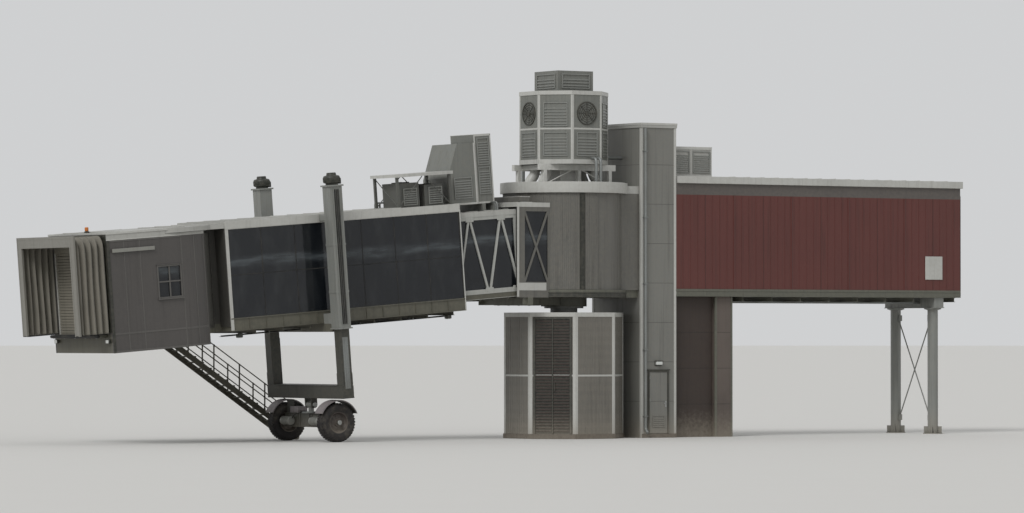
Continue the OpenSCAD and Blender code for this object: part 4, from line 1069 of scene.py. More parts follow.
def outerPieces():
    k = outer
    step = (k["front"] - k["rear"] - k["post"]) / k["bays"]
    mullions = [-k["front"] + k["post"] / 2 + step * i for i in range(k["bays"] + 1)]
    y0, y1 = k["side"] - 0.002, k["side"] + 0.004
    strips = bricks(mirrored([((x - 0.016, y0, 0.0), (x + 0.016, y1, k["ceiling"]))
                              for x in mullions[1:]] + [
        ((-k["front"] + 0.1, y0, k["transom"] - 0.012), (-k["rear"], y1, k["transom"] + 0.012))]),
        0.0015)
    onOuter(strips, "glazingSeals", "seal")
    y1 = k["side"] + 0.026
    edge = bricks(mirrored([
        ((-k["front"], k["side"] + 0.016, k["ceiling"] - 0.03),
         (-k["rear"], k["side"] + 0.034, k["roof"] + 0.02)),
        ((-k["front"], k["side"] - 0.004, k["ceiling"] - 0.045),
         (-k["rear"], k["side"] + 0.03, k["ceiling"] - 0.025))]), 0.004)
    onOuter(edge, "outerRoofEdge", "pale")
    seam = roofSeam(k["roof"], 1.51, 0.034, 0.015, 0.008)
    seams = [at(-k["rear"] - 0.35 - 0.62 * i) for i in range(14) if not 0.2 < 0.35 + 0.62 * i < 2.2]
    onOuter(repeated(seam, seams), "outerRoofSeams", "slopedRoof")
    y0 = k["side"] - 0.004
    beam = mirrored([((-k["front"], y0, -0.03), (-k["rear"], y1, 0.008)),
                     ((-k["front"], y0, k["low"]), (-k["rear"], y1, k["low"] + 0.025))])
    beam += mirrored([((x - 0.006, y0, k["low"] + 0.02), (x + 0.006, y1 - 0.003, -0.025))
                      for x in [m + step / 2 * j for m in mullions[:-1] for j in (0, 1)][1:]])
    onOuter(bricks(beam, 0.003), "outerSideBeams", "slopedBeam")
    cross = bricks([((-0.045, -1.46, -0.52), (0.045, 1.46, -0.507)), ((-0.007, -1.46, -0.51),
        (0.007, 1.46, -0.4))])
    onOuter(repeated(cross, [at(-u) for u in (2.9, 3.9, 4.9, 5.9, 6.9, 8.3, 9.3, 10.3)]),
            "outerCrossBeams", "slopedBeam")
    lines = united([bent([(-2.6, y, -0.56), (-7.1, y, -0.56)], r, 8)
                    for y, r in ((-0.5, 0.02), (-0.43, 0.016), (-0.37, 0.016), (0.6, 0.03))] + [
        bent([(-8.1, y, -0.56), (-11.0, y, -0.56)], r, 8)
        for y, r in ((-0.5, 0.02), (-0.43, 0.016))])
    tray = bricks([((-7.12, -0.56, -0.588), (-2.6, -0.3, -0.58)), ((-11.0, -0.56, -0.588),
        (-8.1, -0.3, -0.58))] + [
        ((x, -0.57, -0.59), (x + 0.03, -0.29, -0.5)) for x in (-3.9, -5.9, -9.3, -10.3)])
    onOuter(lines, "outerConduits", "seal", smooth=60)
    onOuter(tray, "outerConduitTray", "zinc")
    x0, x1 = -k["rear"] - 0.01, -k["rear"] + 0.02
    portal = bricks(mirrored([((x0, 1.44, k["low"]), (x1, 1.535, 3.07))]) + [
        ((x0, -1.535, 2.86), (x1, 1.535, 3.075)), ((x0, -1.5, k["low"]), (x1, 1.5, -0.16))], 0.004)
    onOuter(portal, "rearPortal", "pale")
    brush = bricks(mirrored([((x0, 1.328, 0.0), (x1 - 0.012, 1.445, 2.86))]) + [
        ((x0, -1.445, 2.79), (x1 - 0.012, 1.445, 2.87))])
    onOuter(brush, "rearBrush", "seal")
    post = bricks(mirrored([((-k["front"] - 0.012, 1.498, k["low"] + 0.02),
                             (-k["front"] + 0.1, 1.522, 3.05))]), 0.004)
    onOuter(post, "frontPosts", "pale")
    banks = repeated(louvres(0.52, 3.12, 3.68, 0.07, 0.04),
                     [at(x, y) @ turned(a) for x in (-4.0, -3.04)
                      for y, a in ((-1.05, -90), (0.06, 90))])
    onOuter(banks, "rackLouvres", "steel")
    fans = repeated(fanGrille(0.26), [at(x, -0.5, z) for x, z in ((-4.0, 3.86), (-3.07, 3.76))])
    onOuter(fans, "rackFans", "dark")
    braces = rods([((-4.56, y, 3.08), (-3.6, y, 4.04)) for y in (-1.21, 0.16)] + [
        ((-2.57, y, 3.08), (-3.5, y, 4.04)) for y in (-1.21, 0.16)] + [
        ((-4.56, -1.17, 3.1), (-4.56, 0.12, 4.02))], 0.016, 8)
    feet = bricks([((x - 0.08, y - 0.08, 3.048), (x + 0.08, y + 0.08, 3.066))
                   for x in (-4.56, -2.57) for y in (-1.21, 0.16)])
    onOuter(united([braces, feet]), "rackBraces", "rack", smooth=50)
    pipes = united([bent([(-4.4 + 0.09 * i, 0.05, 3.25), (-4.4 + 0.09 * i, 0.5, 3.25),
                          (-4.4 + 0.09 * i, 0.5, 3.07)], 0.03)
                    for i in range(3)] +
                    [bent([(-3.3, 0.05, 3.3), (-3.3, 0.6, 3.3), (-3.3, 0.6, 3.07)], 0.04)])
    onOuter(pipes, "rackPipes", "zinc", smooth=60)
    liner = bricks([((-k["front"] + 0.02, -1.4, k["deck"]),
                     (-k["front"] + 1.3, 1.4, k["deck"] + 0.011)),
                    ((-k["front"], -1.42, 2.838), (-k["rear"], 1.42, 2.85))])
    onOuter(liner, "outerFloorCovering", "slopedDeck")
    flood = bricks(mirrored([((-10.9, 1.2, -0.62), (-10.75, 1.42, -0.5)),
                             ((-3.1, 1.2, -0.62), (-2.95, 1.42, -0.5))]), 0.02, 2)
    onOuter(flood, "floodLamps", "cap")
    glare = bricks(mirrored([((-10.88, 1.22, -0.632), (-10.77, 1.4, -0.615)),
                             ((-3.08, 1.22, -0.632), (-2.97, 1.4, -0.615))]))
    onOuter(glare, "floodLenses", "clear")


# Lift columns and bogie

lift = {"x": -7.6, "y": 2.2, "half": 0.225, "top": 3.98}


def liftPieces():
    k = lift
    h = k["half"]

    def column(boxes):                             # boxes about the middle of each column
        return [((a[0] + k["x"], s * k["y"] + a[1], a[2]), (b[0] + k["x"], s * k["y"] + b[1], b[2]))
                for a, b in boxes for s in (1, -1)]

    bands = bricks(column([
        ((-h - 0.012, -h - 0.012, z), (h + 0.012, h + 0.012, z + t))
        for z, t in ((0.55, 0.07), (2.05, 0.07))]), 0.004)
    rims = bricks(column([((-h - 0.04, -h - 0.04, -0.6), (-h + 0.004, h + 0.04, -0.56)),
                          ((h - 0.004, -h - 0.04, -0.6), (h + 0.04, h + 0.04, -0.56)),
                          ((-h, -h - 0.04, -0.6), (h, -h + 0.004, -0.56)),
                          ((-h, h - 0.004, -0.6), (h, h + 0.04, -0.56)),
                          ((-h - 0.045, -h - 0.045, 3.93), (h + 0.045, h + 0.045, 3.98))]), 0.004)
    onOuter(united([bands, rims]), "columnBands", "steel")
    tray = bricks(mirrored([((k["x"] - 0.12, k["y"] + h - 0.002, -0.45),
                             (k["x"] - 0.105, k["y"] + h + 0.04, 3.85)),
                            ((k["x"] + 0.105, k["y"] + h - 0.002, -0.45),
                             (k["x"] + 0.12, k["y"] + h + 0.04, 3.85)),
                            ((k["x"] - 0.12, k["y"] + h - 0.002, -0.45),
                             (k["x"] + 0.12, k["y"] + h + 0.006, 3.85))]))
    onOuter(tray, "columnTrays", "steel")
    cables = united([bent([(k["x"] - 0.06 + 0.06 * i, s * (k["y"] + h + 0.024), 3.84),
                           (k["x"] - 0.06 + 0.06 * i, s * (k["y"] + h + 0.024), -0.44)], 0.016, 8)
                     for i in range(3) for s in (1, -1)])
    onOuter(cables, "columnConduits", "seal", smooth=60)
    brackets = bricks(mirrored([
        ((k["x"] - 0.16, 1.52, 2.86), (k["x"] - 0.14, k["y"] - h + 0.002, 3.04)),
        ((k["x"] + 0.14, 1.52, 2.86), (k["x"] + 0.16, k["y"] - h + 0.002, 3.04)),
        ((k["x"] - 0.21, 1.5, -0.42), (k["x"] - 0.19, k["y"] - h + 0.002, -0.1)),
        ((k["x"] + 0.19, 1.5, -0.42), (k["x"] + 0.21, k["y"] - h + 0.002, -0.1)),
        ((k["x"] - 0.21, 1.5, -0.12), (k["x"] + 0.21, k["y"] - h + 0.002, -0.1))]), 0.004)
    onOuter(brackets, "columnBrackets", "steel")
    head = spun([(0.0, 0.0), (0.2, 0.0), (0.2, 0.05), (0.262, 0.07), (0.27, 0.09), (0.27, 0.235),
                 (0.262, 0.262), (0.235, 0.29), (0.165, 0.305), (0.155, 0.325), (0.15, 0.375),
                 (0.13, 0.39), (0.0, 0.39)], 40, closed=False)
    fin = bricks([((0.264, -0.006, 0.1), (0.277, 0.006, 0.23))])
    fins = repeated(fin, [turned(12 * i) for i in range(30)])
    box = bricks([((0.2, -0.09, 0.02), (0.3, 0.09, 0.2))], 0.01)
    heads = repeated(united([head, fins, box]), [at(k["x"], s * k["y"], k["top"]) for s in (1, -1)])
    onOuter(heads, "columnMotors", "cap", smooth=40)
    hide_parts("column_heads")


def legPieces():
    k = lift
    pads = bricks(mirrored([
        ((k["x"] - 0.1, k["y"] + 0.172, -2.5), (k["x"] + 0.1, k["y"] + 0.182, -0.86)),
        ((k["x"] - 0.03, k["y"] + 0.172, -2.5), (k["x"] + 0.03, k["y"] + 0.195, -0.86))]))
    onLegs(pads, "legRacks", "zinc")
    plates = []
    for s in (1, -1):
        for x in (-0.176, 0.164):
            plates.append(((k["x"] + x, s * k["y"] - 0.2, -2.4),
                           (k["x"] + x + 0.012, s * k["y"] + 0.2, -2.0)))
    low = -2.798
    for y in (-1.6, -1.05, -0.5, 0.5, 1.05, 1.6):
        plates.append(((k["x"] - 0.204, y - 0.008, low), (k["x"] + 0.204, y + 0.008, low + 0.398)))
    plates += [((k["x"] - 0.215, -2.37, low - 0.012), (k["x"] + 0.215, 2.37, low + 0.008)),
               ((k["x"] - 0.215, -2.0, low + 0.392), (k["x"] + 0.215, 2.0, low + 0.41))]
    onLegs(bricks(plates, 0.004), "crossBeamPlates", "dark")
    lines = united([bent([(k["x"] + 0.19, y, -2.46), (k["x"] + 0.19, y, -1.2),
                          (k["x"] + 0.19, y, -0.9)], 0.016, 8)
                    for y in (-2.1, -2.04, 2.06)] + [
        bent([(k["x"] + 0.21, -2.07, -2.45), (k["x"] + 0.24, -1.9, -2.52),
              (k["x"] + 0.24, -0.3, -2.52),
              (k["x"] + 0.22, -0.2, -2.7)], 0.02, 8)])
    onLegs(lines, "legConduits", "seal", smooth=60)


bogie = {"track": 1.55, "axle": 0.625}


def tyrePiece(name, y, body, node):
    k = bogie
    r = k["axle"]
    carcass = spun([(0.33, -0.15), (0.36, -0.178), (0.43, -0.197), (0.5, -0.2), (0.555, -0.188),
                    (0.59, -0.16), (0.608, -0.11), (0.612, 0.0), (0.608, 0.11), (0.59, 0.16),
                    (0.555, 0.188), (0.5, 0.2), (0.43, 0.197), (0.36, 0.178), (0.33, 0.15)], 72)
    beads = [spun([(0.44, s * 0.196), (0.45, s * 0.206), (0.462, s * 0.203), (0.466, s * 0.196)], 72)
             for s in (1, -1)]

    def lug(s):                                    # a slanted lug on one half of the tread
        low, high = sorted((s * 0.02, s * 0.16))
        block = bricks([((0.585, -0.028, low), (r - 0.001, 0.028, high))], 0.006)
        edit(block, lambda: bpy.ops.transform.rotate(value=radians(24 * s), orient_axis="X",
                                                     center_override=(0.6, 0, s * 0.09)))
        return block

    lugs = repeated(united([lug(1), moved(lug(-1), turned(4.5))]), [turned(9 * i) for i in range(40)])
    side = bricks([((0.53, -0.012, 0.185), (0.6, 0.012, 0.196)),
                   ((0.53, -0.012, -0.196), (0.6, 0.012, -0.185))], 0.003)
    sides = repeated(side, [turned(9 * i + 3) for i in range(40)])
    tyre = united([carcass] + beads + [lugs, sides])
    place = at(site["bogie"], y, r) @ onSide
    pieces(body, place)(tyre, name + "Tyre", "tyre", smooth=35)
    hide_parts(node)
    rim = spun([(0.072, -0.14), (0.12, -0.14), (0.14, -0.09), (0.25, -0.07), (0.29, -0.1),
                (0.315, -0.165), (0.345, -0.172), (0.35, -0.15), (0.334, -0.13), (0.334, 0.13),
                (0.35, 0.15), (0.345, 0.172), (0.315, 0.165), (0.29, 0.1), (0.25, 0.07),
                (0.14, 0.09), (0.12, 0.14), (0.072, 0.14)], 64)
    nuts = repeated(rods([((0.2, 0, 0.07), (0.2, 0, 0.108)), ((0.2, 0, -0.07), (0.2, 0, -0.108))],
                         0.017, 6, 0.003),
                    [turned(36 * i) for i in range(10)])
    pieces(body, place)(united([rim, nuts]), name + "Rim", "rim", smooth=35)


def bogiePieces():
    k = bogie
    tyrePiece("near", -k["track"], "near_wheel_body", "near_wheel")
    tyrePiece("far", k["track"], "far_wheel_body", "far_wheel")
    for name, s in (("near", -1), ("far", 1)):
        ring = spun([(0.706, -0.215), (0.722, -0.222), (0.722, 0.222), (0.706, 0.215),
                     (0.7065, 0.2)], 28, 132, start=24)
        lips = [hoop(0.69, 0.722, low, high, 28, angle=132, start=24)
                for low, high in ((0.212, 0.228), (-0.228, -0.212))]
        onBogie(united([ring] + lips), name + "Mudguard", "guard", smooth=40,
                place=at(site["bogie"], s * k["track"], k["axle"]) @ onSide)
    hub = rods([((0, s * 1.765, k["axle"]), (0, s * 1.8, k["axle"])) for s in (1, -1)], 0.075, 24,
               0.01)
    onBogie(hub, "hubCaps", "bright")
    motors = rods([((x, s * 0.62, 0.66), (x, s * 1.18, 0.66)) for s in (1, -1)
                   for x in (-0.36, 0.36)], 0.13, 24, 0.015)
    fin = hoop(0.128, 0.142, 0.0, 0.012, 24)
    fins = repeated(fin, [at(x, s * (0.7 + 0.045 * i), 0.66) @ onSide
                          for s in (1, -1) for x in (-0.36, 0.36) for i in range(9)])
    mounts = bricks([((x - 0.1 * (1 if x > 0 else -1) - 0.06, s * 0.86 - 0.2, 0.56),
                      (x, s * 0.86 + 0.2, 0.62))
                     for s in (1, -1) for x in (-0.3, 0.36)], 0.006)
    onBogie(united([motors, fins, mounts]), "driveMotors", "steel", smooth=40)
    guards = bricks([((-0.31, s * 1.24 - 0.045, 0.5), (0.31, s * 1.24 + 0.045, 0.79))
                     for s in (1, -1)], 0.03, 3)
    onBogie(guards, "chainGuards", "dark")
    plates = bricks([((-0.26, -1.28, 0.896), (0.26, 1.28, 0.912)), ((-0.26, -1.28, 0.466),
        (0.26, 1.28, 0.482))] + [
        ((-0.24, y - 0.008, 0.48), (0.24, y + 0.008, 0.9)) for y in (-0.45, -0.3, 0.3, 0.45)],
        0.004)
    onBogie(plates, "bogieBeamPlates", "dark")
    ring = spun([(0.2, 0.905), (0.3, 0.905), (0.3, 0.945), (0.215, 0.945)], 48)
    bolts = repeated(rods([((0.26, 0, 0.94), (0.26, 0, 0.965))], 0.014, 6),
                     [turned(22.5 * i) for i in range(16)])
    onBogie(united([ring, bolts]), "steerRing", "zinc")
    box = bricks([((-0.2, 0.5, 0.91), (0.16, 1.0, 1.12)), ((-0.14, -0.92, 0.91),
        (0.14, -0.6, 1.04))], 0.012, 2)
    onBogie(box, "bogieBoxes", "guard")
    lamp = rods([((0.0, -0.76, 1.04), (0.0, -0.76, 1.15))], 0.05, 20, 0.012)
    onBogie(lamp, "warningLamp", "amber", smooth=40)
    lines = united([bent([(-0.1 + 0.04 * i, 0.5, 0.97), (-0.1 + 0.04 * i, 0.36, 0.97),
                          (-0.12 + 0.04 * i, 0.32, 0.93)], 0.013, 8)
                    for i in range(4)] + [
        bent([(0.36 * s, t * 0.6, 0.74), (0.36 * s, t * 0.45, 0.86), (0.1 * s, t * 0.42, 0.93)],
             0.014, 8) for t in (1, -1) for s in (1, -1)])
    onBogie(lines, "bogieConduits", "seal", smooth=60)
    nut = rods([((0, s * 0.212, 1.18), (0, s * 0.262, 1.18)) for s in (1, -1)], 0.085, 6, 0.008)
    onSaddle(nut, "trimPinNuts", "bright")


swingPieces()
innerPieces()
outerPieces()
print("tunnels")
liftPieces()
legPieces()
bogiePieces()
print("lift and bogie")


# Cab and its turning joint, in the frame of the cab

cab = {"half": 1.89, "skirt": -0.73, "top": 2.75, "roof": 3.0, "deck": -0.15,
       "window": (-0.9, -0.12, 0.88, 1.82)}


def bubblePieces():
    slat = 0.115
    fixedRib = spun([(1.779, 0.0), (1.788, 0.03), (1.788, slat - 0.03), (1.779, slat - 0.001)], 12,
                    32, start=29.7)
    count = int(2.72 / slat)
    ribs = repeated(fixedRib, [flip @ at(0, 0, -0.12 + slat * i) for i in range(count + 1)
                               for flip in (Matrix(), otherSide)])
    edit(ribs, lambda: bpy.ops.mesh.normals_make_consistent(inside=False))
    onJoint(ribs, "fixedSlats", "slats", smooth=40)
    guide = bricks(mirrored([((0.85, 1.5, -0.1), (0.88, 1.55, 2.8))]))
    onJoint(guide, "slatGuides", "steel")
    seam = bricks([((-0.015, -1.9, 2.996), (0.015, 1.9, 3.026))], 0.007)
    edit(seam, lambda: bpy.ops.transform.resize(value=(1, 0.79, 1)))
    onJoint(repeated(seam, [at(0.35 + 0.6 * i) for i in range(3)]), "jointRoofSeams", "slopedRoof")
    ring = spun([(0.86, -0.425), (0.98, -0.425), (1.0, -0.4), (0.86, -0.4)], 64)
    bolts = repeated(rods([((0.93, 0, -0.445), (0.93, 0, -0.42))], 0.016, 6), [turned(15 * i)
        for i in range(24)])
    onJoint(united([ring, bolts]), "slewRing", "zinc")
    cheek = bricks(mirrored([((1.785, 0.9, -0.1), (1.803, 1.49, 2.8))]))
    onJoint(cheek, "endPanels", "slopedBeam")


def cabPieces():
    k = cab
    y0, y1 = k["half"] - 0.002, k["half"] + 0.01
    x0, x1, z0, z1 = k["window"]
    t = 0.05
    frames = bricks(mirrored([
        ((x0 - t, y0, z0 - t), (x1 + t, y1 + 0.012, z0)),
        ((x0 - t, y0, z1), (x1 + t, y1 + 0.012, z1 + t)),
        ((x0 - t, y0, z0 - t), (x0, y1 + 0.012, z1 + t)),
        ((x1, y0, z0 - t), (x1 + t, y1 + 0.012, z1 + t)),
        (((x0 + x1) / 2 - 0.022, y0 - 0.02, z0), ((x0 + x1) / 2 + 0.022, y1, z1)),
        ((x0, y0 - 0.02, (z0 + z1) / 2 - 0.022), (x1, y1, (z0 + z1) / 2 + 0.022))]), 0.004)
    onCab(frames, "windowFrames", "cabTrim")
    sill = bricks(mirrored([((x0 - 0.07, y0, z0 - 0.085), (x1 + 0.07, y1 + 0.05, z0 - 0.05)),
                            ((x0 - 0.07, y0, z1 + 0.05), (x1 + 0.07, y1 + 0.03, z1 + 0.07))]),
                            0.006)
    onCab(sill, "windowSills", "cabTrim")
    seams = mirrored([((x - 0.02, y0, k["skirt"] + 0.06), (x + 0.02, y1 - 0.004, k["top"] - 0.02))
                      for x in (-2.06, -1.5)])
    seams += mirrored([((-2.64, y0, k["deck"] - 0.03), (-0.01, y1, k["deck"] + 0.03)),
                       ((-2.652, y0, k["skirt"] - 0.004), (-0.01, y1 + 0.006, k["skirt"] + 0.06)),
                       ((-2.64, y0, k["top"] - 0.05), (-0.01, y1 + 0.002, k["top"] - 0.006)),
                       ((-0.05, y0, k["skirt"] + 0.05), (-0.005, y1 - 0.004, k["top"] - 0.05))])
    onCab(bricks(seams, 0.003), "cabPanelEdges", "cabTrim")
    # corner strips in near-black: painted shadow of the gap between the canopy and the cab wall
    corner = bricks(mirrored([((-2.657, y0, k["skirt"]), (-2.56, y1 + 0.008, k["top"]))]), 0.004)
    onCab(corner, "cabFrontCorners", "cap", slot="cab_paint")
    arc = spun([(1.888, k["skirt"]), (1.899, k["skirt"] + 0.004), (1.899, k["skirt"] + 0.055),
                (1.888, k["skirt"] + 0.06)],
               16, 29, start=61)
    belt = spun([(1.888, k["deck"] - 0.03), (1.898, k["deck"] - 0.026), (1.898, k["deck"] + 0.026),
                 (1.888, k["deck"] + 0.03)],
                16, 29, start=61)
    post = bricks([((1.884, -0.02, k["skirt"] + 0.05), (1.9, 0.02, k["top"] - 0.04))], 0.003)
    posts = repeated(post, [turned(a) for a in (62, 76)])
    arcs = united([arc, belt, posts])
    arcs = repeated(arcs, [Matrix(), otherSide])
    edit(arcs, lambda: bpy.ops.mesh.normals_make_consistent(inside=False))
    onCab(arcs, "cabRearEdges", "cabTrim", smooth=40)
    rivet = rods([((0, s * (y1 - 0.006), 0), (0, s * (y1 + 0.003), 0)) for s in (1, -1)], 0.008, 6)
    rows = [(x, z) for x in (-2.08, -2.04, -1.52, -1.48) for z in [-0.6 + 0.22 * i
        for i in range(15)]]
    rows += [(-2.5 + 0.2 * i, k["deck"]) for i in range(12)]
    onCab(repeated(rivet, [at(x, 0, z) for x, z in rows]), "cabRivets", "cabTrim")
    flashing = bricks(mirrored([((-2.66, 1.884, k["top"]), (0.0, 1.905, k["top"] + 0.035)),
                                ((-2.66, 1.886, k["roof"] - 0.06),
                                 (-0.02, 1.91, k["roof"] + 0.012))]) + [
        ((-2.675, -1.91, k["roof"] - 0.05), (-2.645, 1.91, k["roof"] + 0.014))], 0.005)
    onCab(flashing, "cabRoofEdges", "pale")
    seam = bricks([((-0.014, -1.87, k["roof"] - 0.004), (0.014, 1.87, k["roof"] + 0.026))], 0.007)
    onCab(moved(seam, at(-2.15)), "cabRoofSeams", "slopedRoof")
    hooks = bricks(mirrored([((x, 1.885, 2.4), (x + 0.04, 1.95, 2.46))
                             for x in (-2.4, -1.95, -1.5, -1.1)] + [
        ((-2.5, 1.948, 2.372), (-1.0, 1.956, 2.488))]), 0.004)
    onCab(hooks, "awningRail", "cabRail")
    lamp = rods([((-2.3, 0.0, 3.0), (-2.3, 0.0, 3.06))], 0.08, 20, 0.008)
    glow = rods([((-2.3, 0.0, 3.06), (-2.3, 0.0, 3.19))], 0.062, 20, 0.02)
    onCab(lamp, "beaconBase", "cap", smooth=40)
    onCab(glow, "beaconLens", "amber", smooth=40)
    floods = bricks(mirrored([((-2.76, 1.6, -0.42), (-2.68, 1.8, -0.3)),
                              ((-2.7, 1.68, -0.36), (-2.64, 1.72, -0.32))]), 0.012, 2)
    onCab(floods, "cabLamps", "cap")
    lens = bricks(mirrored([((-2.768, 1.615, -0.41), (-2.758, 1.785, -0.31))]), 0.004)
    onCab(lens, "cabLampLenses", "clear")
    beams = bricks([((-2.5, y - 0.03, -0.5), (-0.2, y + 0.03, -0.238))
                    for y in (-1.5, -0.75, 0.75, 1.5)] + [
        ((x - 0.03, -1.82, -0.42), (x + 0.03, 1.82, -0.238)) for x in (-2.3, -1.75, -1.2)], 0.006)
    onCab(clearOfRing(beams), "cabUnderBeams", "slopedBeam")
    bumper = spun([(0.0, -1.58), (0.045, -1.56), (0.05, -1.5), (0.05, 1.5), (0.045, 1.56),
                   (0.0, 1.58)], 20, closed=False)
    place = at(-2.975, 0, -0.19) @ onSide
    onCab(moved(bumper, place), "lipBumper", "seal", smooth=50)
    clips = bricks([((-2.985, y - 0.03, -0.25), (-2.93, y + 0.03, -0.235))
                    for y in (-1.4, -0.7, 0, 0.7, 1.4)])
    onCab(clips, "bumperClips", "zinc")
    plate = bricks([((-2.94, -1.54, -0.152), (-2.6, 1.54, -0.142)), ((-2.58, -1.58, -0.152),
        (-0.2, 1.58, -0.141))])
    onCab(plate, "cabFloorCovering", "slopedDeck")
    desk = bricks([((-2.3, -1.78, -0.15), (-1.75, -1.45, 0.85)),
                   ((-2.34, -1.8, 0.85), (-1.7, -1.38, 0.93))], 0.015, 2)
    onCab(desk, "controlDesk", "cab")
    knobs = united([rods([((-2.2 + 0.08 * i, -1.5, 0.93), (-2.2 + 0.08 * i, -1.5, 0.955))
                          for i in range(6)], 0.016, 12, 0.003),
                    rods([((-1.85, -1.5, 0.93), (-1.85, -1.5, 1.04))], 0.012, 10, 0.003)])
    onCab(knobs, "deskControls", "cap")


def clearOfRing(obj):
    cut = rods([((0, 0, -0.7), (0, 0, -0.1))], 1.84, 64)
    add = obj.modifiers.new("clear", "BOOLEAN")
    add.operation = "DIFFERENCE"
    add.solver = "EXACT"
    add.object = cut
    alone(obj)
    bpy.ops.object.modifier_apply(modifier="clear")
    bpy.data.objects.remove(cut)
    return obj


def shutterPieces():
    slat = 0.09
    count = int(2.54 / slat)
    slatBar = bricks([((-2.62, -1.585, 0.003), (-2.582, 1.585, slat - 0.005))], 0.012, 3)
    slats = repeated(slatBar, [at(0, 0, -0.12 + slat * i) for i in range(count)])
    bar = bricks([((-2.625, -1.585, -0.15), (-2.575, 1.585, -0.118)), ((-2.63, -0.09, -0.11),
        (-2.61, 0.09, -0.09))], 0.006)
    sheet = united([slats, bar])
    onCab(sheet, "shutterSlats", "shutter", smooth=40)
    box = spun([(0.0, -1.6), (0.155, -1.6), (0.162, -1.594), (0.162, 1.594), (0.155, 1.6),
                (0.0, 1.6)], 28, closed=False)
    place = at(-2.49, 0, 2.575) @ onSide
    roll = united([moved(box, place), bricks([((-2.65, -1.6, 2.4), (-2.49, 1.6, 2.748))], 0.012,
                                             2)])
    onCab(roll, "shutterBox", "shutter", smooth=40)
    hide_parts("cab_shutter")
    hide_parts("cab_shutter")
    tracks = bricks(mirrored([((-2.648, 1.57, -0.15), (-2.56, 1.602, 2.42))]), 0.004)
    onCab(tracks, "shutterTracks", "pale")


# Canopy: one continuous pleated sheet, sewn to the cab and to the front hoop

canopy = {"back": -2.655, "front": -3.742, "foot": -0.1, "ridge": 1.842, "valley": 1.672,
          "top": 2.932, "corner": 0.36, "pleats": 5, "girth": 9.17, "depth": 2.06}


def archPoint(s, inset):                           # a point on the arch and its outward way
    k = canopy
    half, top, r = k["ridge"] - inset, k["top"] - inset, k["corner"]
    side, across, arc = top - r - k["foot"], 2 * (half - r), pi / 2 * r
    run = s * (2 * side + across + 2 * arc)
    if run < side:
        return Vector((-half, k["foot"] + run)), Vector((-1, 0))
    run -= side
    if run < arc:
        a = pi - run / r
        return Vector((-half + r + r * cos(a), top - r + r * sin(a))), Vector((cos(a), sin(a)))
    run -= arc
    if run < across:
        return Vector((-half + r + run, top)), Vector((0, 1))
    run -= across
    if run < arc:
        a = pi / 2 - run / r
        return Vector((half - r + r * cos(a), top - r + r * sin(a))), Vector((cos(a), sin(a)))
    return Vector((half, top - r - (run - arc))), Vector((1, 0))


def pleatAt(t):                                    # 0 on a ridge, 1 in a valley
    phase = abs((t * canopy["pleats"]) % 1 - 0.5) * 2
    return phase ** 1.25


def canopySpot(s, t):
    k = canopy
    deep = pleatAt(t)
    free = min(1, 4 * t, 4 * (1 - t))
    place, out = archPoint(s, (k["ridge"] - k["valley"]) * deep)
    x = k["back"] + (k["front"] - k["back"]) * t
    spot = Vector((x, place.x, place.y))
    crease = noise.noise(Vector((x * 2.2, s * 26, 4.0))) * 0.5 + noise.noise(Vector((x * 9, s * 60,
        9.0))) * 0.22
    loose = 0.014 * free * (0.35 + 0.65 * (1 - deep)) * crease - 0.004 * free
    sag = -0.022 * free * max(0, out.y) * (1 - (place.x / k["ridge"]) ** 2)
    lean = 0.014 * free * sin(s * 19 + 5 * t) * (1 - abs(2 * s - 1) * 0.4)
    return spot + Vector((lean, out.x * loose, out.y * loose + sag))


